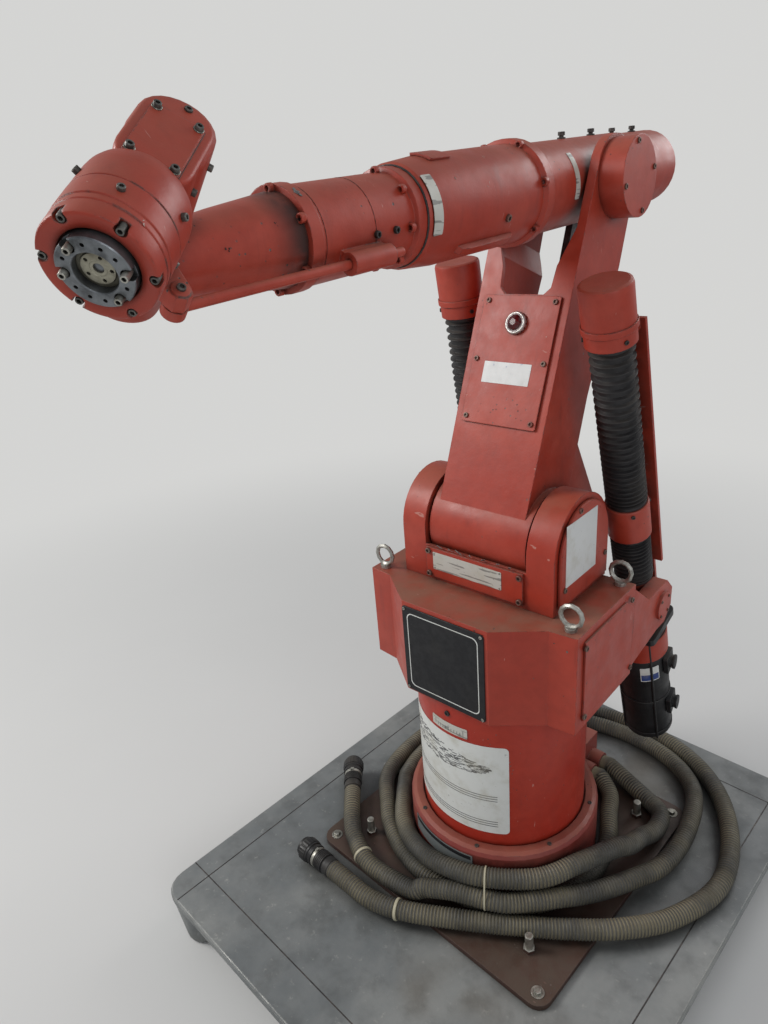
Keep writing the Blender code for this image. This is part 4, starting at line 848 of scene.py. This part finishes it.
piece("flange_pilot_plate", [turned([
    (0.0186, 0.127), (0.0186, 0.1296), (0.015, 0.13), (0.0142, 0.1318), (0.0075, 0.1318), (0.007, 0.131),
    (0.0046, 0.131), (0.0046, 0.1275),
], 48, TOOL)], "flange", PALE_STEEL,
    cutters=bores(0.0017, 0.128, 0.14, 12, [polar(angle, 0.0112) for angle in PILOT_HOLES]))

# Wrist housing: a ringed drum that ends in a sloping dish, and a round-ended case with a screwed cover
DISH_SCREWS, DISH_CIRCLE = (18, 78, 138, 198, 258, 318), 0.0452
CASE_LOW, CASE_TOP = 0.0503, 0.1485
FRONT_HALF, REAR_HALF = 0.0345, 0.0368
drum = piece("wrist_drum", [turned([
    (0.03, 0.018), (0.038, 0.0225), (0.0435, 0.028), (0.047, 0.034), (0.049, 0.041), (0.0499, 0.05),
    (0.0503, 0.0785), (0.0495, 0.079), (0.0495, 0.0802), (0.0505, 0.0807), (0.0508, 0.105),
    (0.0498, 0.1056), (0.0498, 0.1068), (0.0504, 0.1074), (0.0504, 0.1128), (0.0496, 0.1134),
    (0.0496, 0.1146), (0.0502, 0.1152), (0.0502, 0.1296), (0.0495, 0.1314), (0.0478, 0.1322),
    (0.046, 0.132), (0.04, 0.1306), (0.0352, 0.1296), (0.0342, 0.1288), (0.0342, 0.1185),
], 72, TOOL)], "wrist", RED, "red_paint", 28.0,
    cutters=bores(0.0056, 0.1225, 0.16, 22, [polar(angle, DISH_CIRCLE + 0.0012) for angle in DISH_SCREWS]))
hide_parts("wrist_housing", "wrist_cover_plate")
piece("wrist_case", [
    domed(FRONT_HALF, -0.012, 0.048, CASE_LOW, CASE_TOP, 0.0045, WRIST),
    domed(REAR_HALF, 0.02, 0.052, CASE_LOW, CASE_TOP - 0.0022, 0.0075, WRIST),
    domed(0.04, -0.002, 0.000, CASE_LOW, 0.09, 0.006, WRIST),
], "wrist", RED, "red_paint", 28.0)

# Wrist arm with the hub that the case turns on, and the lever of the push rod
neck = piece("wrist_neck", [
    turned([(0.056, 0.7093), (0.047, 0.8), (0.043, 0.83), (0.0405, 0.86), (0.037, 0.884), (0.03, 0.905),
            (0.02, 0.915)], 56, ROLL @ FORWARD),
    turned([(0.033, -0.0385), (0.0385, -0.0345), (0.0395, -0.03), (0.0395, 0.0185), (0.038, 0.0198)], 48,
           ARM_END),
], "roll", RED_OILY, "red_paint", 30.0)
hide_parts("wrist_arm")
LEVER = 0.073
lever_outline = [(0.0, -0.019), (LEVER, -0.0128), (LEVER + 0.008, -0.0102), (LEVER + 0.013, 0.0),
                 (LEVER + 0.008, 0.0102), (LEVER, 0.0128), (0.0, 0.019)]
lever = piece("wrist_lever", [
    turned([(0.0385, 0.0203), (0.04, 0.0215), (0.04, 0.0495), (0.039, CASE_LOW)], 48, ARM_END),
    plate(lever_outline, 0.0308, 0.05, ARM_END, 0.002),
    turned([(0.0098, 0.0495), (0.0098, 0.0515), (0.006, 0.0525)], 24, ARM_END @ move(LEVER, 0, 0)),
], "wrist", RED, "red_paint", 30.0)
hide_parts("bend_lever")
add_screws("wrist", [ARM_END @ move(LEVER, 0, 0.0525)], 0.0046, 0.003, "grimy")

COVER = WRIST @ move(0, 0.01, CASE_TOP)
piece("wrist_cover", [tablet(0.0248, 0.041, 0.0012, 0.0004, 0.0034, COVER, 0.0006)],
      "wrist", RED, "red_paint")
piece("wrist_cover_gap", [tablet(0.0254, 0.0416, 0.0014, -0.0005, 0.0005, COVER)],
      "wrist", BLACKENED, "black_rubber")

# Faces that carry plates and screws
SIDE_FACE = {1: turn(90) @ FORWARD, -1: turn(-90) @ FORWARD}
TURRET_X, CAP_X, TRUNNION_X = 0.2403, 0.1783, 0.242
NOSE_Y, COVER_Y = -0.0741, 0.0227
COLUMN_RADIUS, FOOT_RADIUS = 0.1801, 0.2106
UP_FRONT = SWING @ turn(-90)


def front(x, y, z):
    """A place on a face that looks forward, with its Z out of the face."""
    return move(x, y, z) @ FORWARD


def side_place(sign, x, y, z):
    """A place on a face that looks to one side, with its Z out of the face."""
    return move(sign * x, y, z) @ SIDE_FACE[sign]


def on_column(out, thickness, start, end, low, high, corner=0.0):
    return curved_plate(COLUMN_RADIUS + out, thickness, start, end, low, high, UP_FRONT, corner)


# Column: a bare sticker with ruled lines, a small scale plate above it and a plate on the ring
PRINT_OUT = 0.0004
piece("column_sticker", [on_column(0, 0.0006, -62, 37.5, 0.312, 0.537, 0.01)],
      "base", WHITE_PRINT, "red_paint")
rules = [on_column(PRINT_OUT, PRINT_OUT, -58, 30, level, level + 0.0016)
         for level in (0.3305, 0.3365, 0.3425, 0.398, 0.404, 0.41)]
piece("column_sticker_rules", rules, "base", INK, "black_rubber")
hatching = random.Random(4)
STROKES = 330
strokes = []
for number in range(STROKES):
    share = (number + 0.5) / STROKES
    angle = -50.0 + 74.0 * share
    room = 0.03 * sqrt(max(1.0 - (2.0 * share - 1.0) ** 2, 0.0)) * (1.15 - 0.6 * share) + 0.001
    level = 0.489 - 0.012 * share + hatching.uniform(-room, room)
    width, tall = hatching.uniform(1.0, 4.2), hatching.uniform(0.0008, 0.0019)
    strokes.append(on_column(PRINT_OUT, PRINT_OUT, angle, angle + width, level, level + tall))
piece("column_sticker_hatching", strokes, "base", INK, "black_rubber")
piece("column_scale_plate", [on_column(0, 0.0009, -16.5, 11.5, 0.545, 0.5675, 0.002)], "base", PALE_PLATE)
ticks = []
for number in range(11):
    angle, tall = -13.5 + 2.2 * number, 0.007 if number % 5 else 0.012
    ticks.append(on_column(0.0007, 0.0004, angle, angle + 0.35, 0.549, 0.549 + tall))
piece("column_scale_marks", ticks, "base", INK, "black_rubber")
piece("ring_plate", [curved_plate(FOOT_RADIUS, 0.0008, -31, 15.5, 0.226, 0.2665, UP_FRONT, 0.002)],
      "base", GREY_PLATE)
piece("ring_plate_band", [curved_plate(FOOT_RADIUS + 0.0006, 0.0005, -30, 14.5, 0.2545, 0.264, UP_FRONT)],
      "base", BLACK_PLATE, "black_rubber")
add_screws("base", [SWING @ turn(-92.6) @ move(COLUMN_RADIUS, 0, 0.59) @ ALONG_X], 0.006, 0.003)
add_screws("base", ring_of(BASE, range(20, 380, 45), move(0.1955, 0, 0.2829)), 0.0045, 0.0016)

# Turret: nameplate with a rounded line, cover screws, shoulder cover plate and end-cap label
nose = front(-0.003, NOSE_Y, 0.718)
piece("turret_nameplate", [tablet(0.094, 0.096, 0.006, 0, 0.0024, nose, 0.0008)],
      "turret", BLACK_PLATE, "motor_black")
name_line = frame_strip(rounded_rectangle(0.082, 0.084, 0.012, 6), 0.0016, 0.0022, 0.0029, nose)
piece("turret_nameplate_line", [name_line], "turret", WHITE_PRINT)
add_screws("turret", four(nose, 0.0885, 0.0905, 0.0024), 0.0032, 0.0014, "steel")
for sign in (-1, 1):
    places = [side_place(sign, TURRET_X, y, z) for y, z in (
        (0.197, 0.803), (0.207, 0.645), (0.016, 0.795), (0.018, 0.648))]
    add_screws("turret", places, 0.0055, 0.0035, "worn")
places = [front(x, COVER_Y, z) for x in (-0.1035, 0.1035) for z in (0.888, 0.8385)]
add_screws("turret", places, 0.0058, 0.0045, "worn")
shoulder_plate = front(-0.014, COVER_Y, 0.869)
piece("shoulder_plate", [tablet(0.079, 0.0185, 0.0015, 0, 0.001, shoulder_plate, 0.0003)],
      "turret", PALE_PLATE)
add_screws("turret", four(shoulder_plate, 0.0755, 0.0155, 0.001), 0.0018, 0.0008, "steel")
for sign in (-1, 1):
    places = [side_place(sign, CAP_X, y, z) for y, z in ((0.102, 1.0075), (0.052, 0.872), (0.204, 0.884))]
    add_screws("turret", places, 0.0052, 0.003, "worn")
piece("end_cap_label", [tablet(0.056, 0.06, 0.001, 0, 0.0006, side_place(1, CAP_X, 0.11, 0.935))],
      "turret", WHITE_END)


def on_arm_face(x, along, out=0.003):
    return ARM_FACE @ move(x, -out, along) @ FORWARD


# Upper arm: panel screws, bezel round the lamp, bare label, and rim screws of the elbow caps
places = [on_arm_face(x, along) for x, along in (
    (-0.068, 0.414), (0.0695, 0.414), (0.0705, 0.306), (-0.0705, 0.306), (0.0695, 0.199), (-0.0695, 0.199))]
add_screws("arm", places, 0.0048, 0.0032, "worn")
piece("arm_label", [tablet(0.0495, 0.0195, 0.001, 0, 0.0006, on_arm_face(-0.0015, 0.2835))],
      "arm", WHITE_ARM)
bezel = [(0.0208, 0.0), (0.0208, 0.0045), (0.02, 0.0066), (0.0182, 0.008), (0.0166, 0.008), (0.0164, 0.005)]
piece("lamp_bezel", [turned(bezel, 40, on_arm_face(0, 0.374))], "arm", STEEL)
for facing in (ALONG_X @ turn(180, "X"), ALONG_X):
    places = ring_of(ARM @ move(0, 0, 0.646) @ facing, (35, 125, 215, 305), move(0.057, 0, 0.139))
    add_screws("arm", places, 0.0048, 0.003, "worn")


def wrapped(name, radius, along, width, start, end, finish, thickness=0.0006):
    """A strip round the forearm: angles from the top towards +X."""
    shape = curved_plate(radius, thickness, -end, -start, along - width / 2, along + width / 2,
                         FOREARM @ FORWARD @ turn(90), 0.002)
    piece(name, [shape], "forearm", finish)


def facing_forward(tube, angles, radius, along):
    """Places round a forward-lying tube that look along it."""
    return [tube @ around(degrees, radius, along) @ FORWARD for degrees in angles]


# Forearm: flange bolts, top screws, labels, seams and cast pads
places = facing_forward(FOREARM, (25, 79, 133, -25, -79, -133), 0.079, 0.21)
add_screws("forearm", places, 0.0068, 0.0075, "red")
for along, radius in ((0.024, 0.0735), (-0.086, 0.0735), (-0.173, 0.0705), (-0.262, 0.0705)):
    spot = FOREARM @ around(2, radius, along)
    boss = turned([(0.0075, -0.004), (0.0075, 0.0015), (0.0042, 0.002), (0.0042, 0.005)], 16, spot)
    add_shapes("forearm", "black", [boss])
    add_screws("forearm", [spot @ move(0, 0, 0.005)], 0.0062, 0.0058)
places = [FOREARM @ around(degrees, 0.0752, 0.312) for degrees in (110, -110)]
add_screws("forearm", places, 0.0058, 0.0045, "worn")
wrapped("forearm_strip_front", 0.0724, 0.482, 0.02, 47, 112, PALE_PLATE)
wrapped("forearm_strip_rear", 0.0731, 0.095, 0.014, 47, 108, PALE_PLATE)
wrapped("forearm_pad", 0.0745, 0.424, 0.044, 0, 30, RED, 0.004)
rib = [(-0.28, 0.07), (-0.425, 0.07), (-0.418, 0.082), (-0.4, 0.0845), (-0.3, 0.0845), (-0.286, 0.081)]
rings = [[(x, y, z) for y, z in rib] for x in (-0.006, 0.006)]
piece("forearm_rib", [loft(rings, FOREARM @ turn(135.5, "Y"))], "forearm", RED, "red_paint")
piece("forearm_seam", [ring_band(0.0668, 0.4955, 0.499, 0.001, FOREARM @ FORWARD)],
      "forearm", BLACKENED, "black_rubber")
seams = [ring_band(0.06, along, along + 0.001, 0.0002, ROLL @ FORWARD) for along in (0.595, 0.683)]
piece("roll_seam", seams, "roll", BLACKENED, "black_rubber")

# Roll tube: rear flange screws, front flange screws and small screws on its side
REAR_FLANGE, FRONT_FLANGE = (-40, 8, 54, 100, 146, 192, 238, 284), (-40, 20, 80, 140, 200, 260)
add_screws("roll", facing_forward(ROLL, REAR_FLANGE, 0.0618, 0.525), 0.0062, 0.0065, "red")
add_screws("roll", facing_forward(ROLL, FRONT_FLANGE, 0.0585, 0.7095), 0.0062, 0.007, "red")
places = [ROLL @ around(angle, 0.06, along) for angle, along in ((53.5, 0.595), (53.0, 0.558), (69.0, 0.584))]
add_screws("roll", places, 0.0048, 0.0045)

# Wrist: screws of the cover, case, drum, dish rim and hub, and the flange's long cap screws
cover_spots = four(COVER, 0.0196, 0.0358, 0.0033)
add_shapes("wrist", "steel", [turned([(0.005, 0.0), (0.005, 0.0009)], 16, spot) for spot in cover_spots])
add_screws("wrist", cover_spots, 0.004, 0.0048, "grimy")
add_screws("wrist", [WRIST @ move(0.003, 0.071, CASE_TOP - 0.0022)], 0.004, 0.0045, "grimy")
add_screws("wrist", [polar(degrees, DISH_CIRCLE, 0.122) for degrees in DISH_SCREWS], 0.0038, 0.0095, "grimy")
drum_spots = [polar(95, 0.0505, 0.0935)] + [polar(angle, 0.0505, 0.062) for angle in (155, 215, 275, 335, 35)]
add_screws("wrist", [spot @ ALONG_X for spot in drum_spots], 0.0036, 0.0038, "grimy")
for sign in (-1, 1):
    places = [WRIST @ side_place(sign, half - 0.0002, y, 0.118)
              for half, y in ((REAR_HALF, 0.052), (FRONT_HALF, 0.006))]
    add_screws("wrist", places, 0.0036, 0.0045, "grimy")
places = [polar(degrees, FLANGE_CIRCLE, 0.1315) for degrees in FLANGE_SCREWS]
add_screws("flange", places, 0.0037, 0.0125, "steel")
hub_places = ring_of(WRIST @ move(0, 0, 0.0505), (210, 330), move(0.0398, 0, -0.015) @ ALONG_X)
add_screws("wrist", hub_places, 0.004, 0.0032, "grimy")

# Paint knocked off to primer or bare metal: ragged flakes a fraction of a millimetre thick
ragged = random.Random(11)
FLAKE_CORNERS = 9


def flake(place, long, wide):
    """One ragged flat flake, longest along its X."""
    outline = []
    for corner in range(FLAKE_CORNERS):
        angle = tau * corner / FLAKE_CORNERS
        reach = ragged.uniform(0.55, 1.0)
        outline.append((long * reach * cos(angle), wide * reach * sin(angle)))
    return plate(outline, -0.0004, 0.00018, place @ Matrix.Rotation(ragged.uniform(-0.5, 0.5), 4, "Z"))


def flakes(name, body, finish, places):
    """Flakes at (place, length, width, spread, count)."""
    shapes = []
    for place, long, wide, spread, count in places:
        for _ in range(count):
            size = ragged.uniform(0.35, 1.0)
            shift = move(ragged.gauss(0, 0.5) * spread, ragged.gauss(0, 0.5) * spread, 0)
            shapes.append(flake(place @ shift, long * size, wide * size))
    piece(name, shapes, body, finish)


flakes("shoulder_rubbed_edge", "turret", RUBBED, [
    (front(x, 0.0223, 0.9025), long, 0.0016, 0.0006, 2) for x, long in (
        (-0.078, 0.011), (-0.052, 0.005), (-0.03, 0.014), (-0.004, 0.006), (0.026, 0.01), (0.058, 0.013),
        (0.083, 0.005))
])
flakes("turret_dark_chips", "turret", DARK_CHIP, [
    (front(x, NOSE_Y, z), 0.0012, 0.0008, 0.01, 3)
    for x, z in ((-0.06, 0.8175), (0.02, 0.8185), (0.085, 0.8165))
] + [
    (side_place(1, CAP_X, y, z), 0.0013, 0.001, 0.011, 5)
    for y, z in ((0.045, 0.945), (0.175, 0.99), (0.18, 0.905))
])
flakes("roll_flange_rubbed", "roll", RUBBED, [(ROLL @ around(-9, 0.0636, 0.7), 0.0045, 0.0032, 0.0045, 8)])
flakes("neck_dark_chips", "roll", DARK_CHIP, [
    (ROLL @ around(*spot), 0.002, 0.001, 0.006, 3)
    for spot in ((20, 0.0522, 0.745), (48, 0.0505, 0.76), (72, 0.048, 0.78), (38, 0.0455, 0.812))
])
flakes("forearm_pale_scratches", "forearm", PALE_CHIP, [
    (FOREARM @ around(angle, 0.0752, along), long, 0.0005, 0.003, 2)
    for angle, along, long in ((58, 0.43, 0.007), (70, 0.36, 0.005), (35, 0.33, 0.004), (88, 0.25, 0.006))
])
flakes("wrist_pale_chips", "wrist", PALE_CHIP, [
    (polar(angle, 0.0504, along) @ ALONG_X, 0.0017, 0.0007, 0.004, 3)
    for angle, along in ((112, 0.098), (128, 0.094), (66, 0.11))
])
flakes("panel_chips", "arm", PALE_CHIP, [
    (on_arm_face(x, along), 0.0016, 0.0007, 0.003, 2)
    for x, along in ((0.066, 0.352), (-0.072, 0.236), (0.073, 0.262))
])

# Screw drives: cap rims and screws, nut screws and trunnion cover screws
QUARTERS = (45, 135, 225, 315)
NUT_CENTRE = {"right": 0.228, "left": 0.256}
for side, sign in SIDES:
    unit, body = SCREW[side], SCREW_BODY[side]
    piece(f"screw_cap_rim_{side}", [ring_band(0.046, 0.6306, 0.642, 0.001, unit)], body, RED, "red_paint")
    add_screws(body, ring_of(unit, (-150, -30, 90), move(0.0439, 0, 0.618) @ ALONG_X), 0.004, 0.0026)
    nut_rim = move(0.0419, 0, NUT_CENTRE[side] + 0.029) @ ALONG_X
    add_screws(f"nut_{side}", ring_of(unit, (-140, -50, 40, 130), nut_rim), 0.004, 0.0028)
    trunnion = side_place(sign, TRUNNION_X, SCREW_Y, SCREW_Z)
    add_screws("turret", ring_of(trunnion, QUARTERS, move(0.0245, 0, 0)), 0.0034, 0.0022, "worn")

# Motors: end bells, cooling joints, tie screws, cable sockets and a small bare label
MOTOR_BANDS = ((-0.1, -0.088, 0.0014), (-0.158, -0.15, 0.0022), (-0.3, -0.292, 0.0022),
               (-0.425, -0.413, 0.0014))
COLLAR = [(0.0548, -0.15), (0.057, -0.15), (0.0582, -0.1485), (0.0582, -0.09), (0.057, -0.0885),
          (0.054, -0.0885)]
SOCKET = [(0.015, 0.009), (0.015, 0.016), (0.0165, 0.0165), (0.0165, 0.0205), (0.0135, 0.021)]
for side, sign in SIDES:
    unit, body = SCREW[side], SCREW_BODY[side]
    shapes = [ring_band(0.055, low, high, depth, unit, 40) for low, high, depth in MOTOR_BANDS]
    shapes += bores(0.003, 0.0, 0.36, 10, ring_of(unit, QUARTERS, move(0.056, 0, -0.43)))
    for along in (-0.185, -0.33):
        socket = unit @ turn(90 - sign * 82) @ move(0.0535, 0, along) @ ALONG_X
        shapes += [tablet(0.024, 0.022, 0.004, 0, 0.01, socket, 0.001), turned(SOCKET, 20, socket)]
    piece(f"motor_fittings_{side}", shapes, body, MOTOR_BLACK, "motor_black")
    piece(f"motor_collar_{side}", [turned(COLLAR, 48, unit)], body, RED, "red_paint")
    facing = unit @ turn(-90 + sign * 42)
    piece(f"motor_label_{side}", [curved_plate(0.0551, 0.0006, -22, 22, -0.215, -0.17, facing, 0.002)],
          body, WHITE_PRINT)
    piece(f"motor_label_block_{side}", [curved_plate(0.0556, 0.0005, -20, 20, -0.212, -0.193, facing)],
          body, BLUE_PRINT)

# Base plate: corner bolts and bright studs; deck: joint lines of its plates
CORNER_BOLT, STUD_REACH = 0.281, 0.222
NUT_TOP, STUD_TOP = 0.0096, 0.0424
STUD = [(0.0083, NUT_TOP), (0.0083, STUD_TOP - 0.0012), (0.007, STUD_TOP)]
for spot in four(BASE, CORNER_BOLT, CORNER_BOLT, BASE_TOP):
    add_shapes("base", "steel", hexagon_bolt(0.013, 0.006, 0.0012, spot))
for spot in four(BASE, STUD_REACH, STUD_REACH, BASE_TOP):
    add_shapes("base", "steel", [turned(STUD, 20, spot)])
JOINT_X, JOINT_Y, JOINT_HALF = 0.432, 0.508, 0.0012
joints = []
for x, y, half_x, half_y in ((JOINT_X, 0, JOINT_HALF, 0.59), (-JOINT_X, 0, JOINT_HALF, 0.59),
                             (0, -JOINT_Y, 0.489, JOINT_HALF), (0, JOINT_Y, 0.489, JOINT_HALF)):
    outline = [(-half_x, -half_y), (half_x, -half_y), (half_x, half_y), (-half_x, half_y)]
    joints.append(plate(outline, -0.0003, 0.00035, PLINTH @ move(x, y, DECK_TOP)))
piece("deck_joints", joints, "base", BLACKENED, "deck_steel")


# Nylon ties round the conduits
def axes(side, up, along, place):
    """Matrix at a place from its three directions."""
    return move(*place) @ Matrix((side, up, along)).transposed().to_4x4()


def tie_band(letter, share):
    line = ROUTE_LINES[letter]
    number = round(share * (len(line) - 1))
    along = (line[number + 1] - line[number - 1]).normalized()
    side = along.cross(Vector((0, 0, 1))).normalized()
    place = axes(side, side.cross(along), along, line[number])
    return ring_band(HOSE_RADIUS - 0.0006, -0.003, 0.003, 0.0022, place, 28)


def tie_loop(line, low_share, high_share, half_width=0.0016, depth=0.0016):
    """A tie round two strands of one conduit that touch."""
    numbers = [round(share * (len(line) - 1)) for share in (low_share, high_share)]
    low, high = (line[number] for number in numbers)
    along = (line[numbers[1] + 1] - line[numbers[1] - 1]).normalized()
    across = high - low
    across = across - across.dot(along) * along
    reach = across.length / 2
    across.normalize()
    rings = []
    for gap, height in ((0, -half_width), (depth, -half_width), (depth, half_width), (0, half_width)):
        outline = stadium(HOSE_RADIUS - 0.0004 + gap, -reach, reach)
        rings.append([(x, y, height) for x, y in outline])
    return looped(rings, axes(across.cross(along), across, along, (low + high) / 2))


piece("conduit_ties", [tie_band("a", 0.945), tie_band("b", 0.94), tie_band("a", 0.4),
                       tie_loop(ROUTE_LINES["b"], 0.8457, 0.2085)], "base", TIE, "black_rubber")

SCREW_FINISHES = {
    "black": (BLACKENED, "motor_black"), "steel": (ZINC, "bare_steel"), "red": (RED, "red_paint"),
    "worn": (HALF_PAINTED, "bare_steel"), "grimy": (GRIMY, "bare_steel"),
}
for (body, kind), shapes in SCREWS.items():
    piece(f"screws_{kind}_{body}", shapes, body, *SCREW_FINISHES[kind], 30.0)
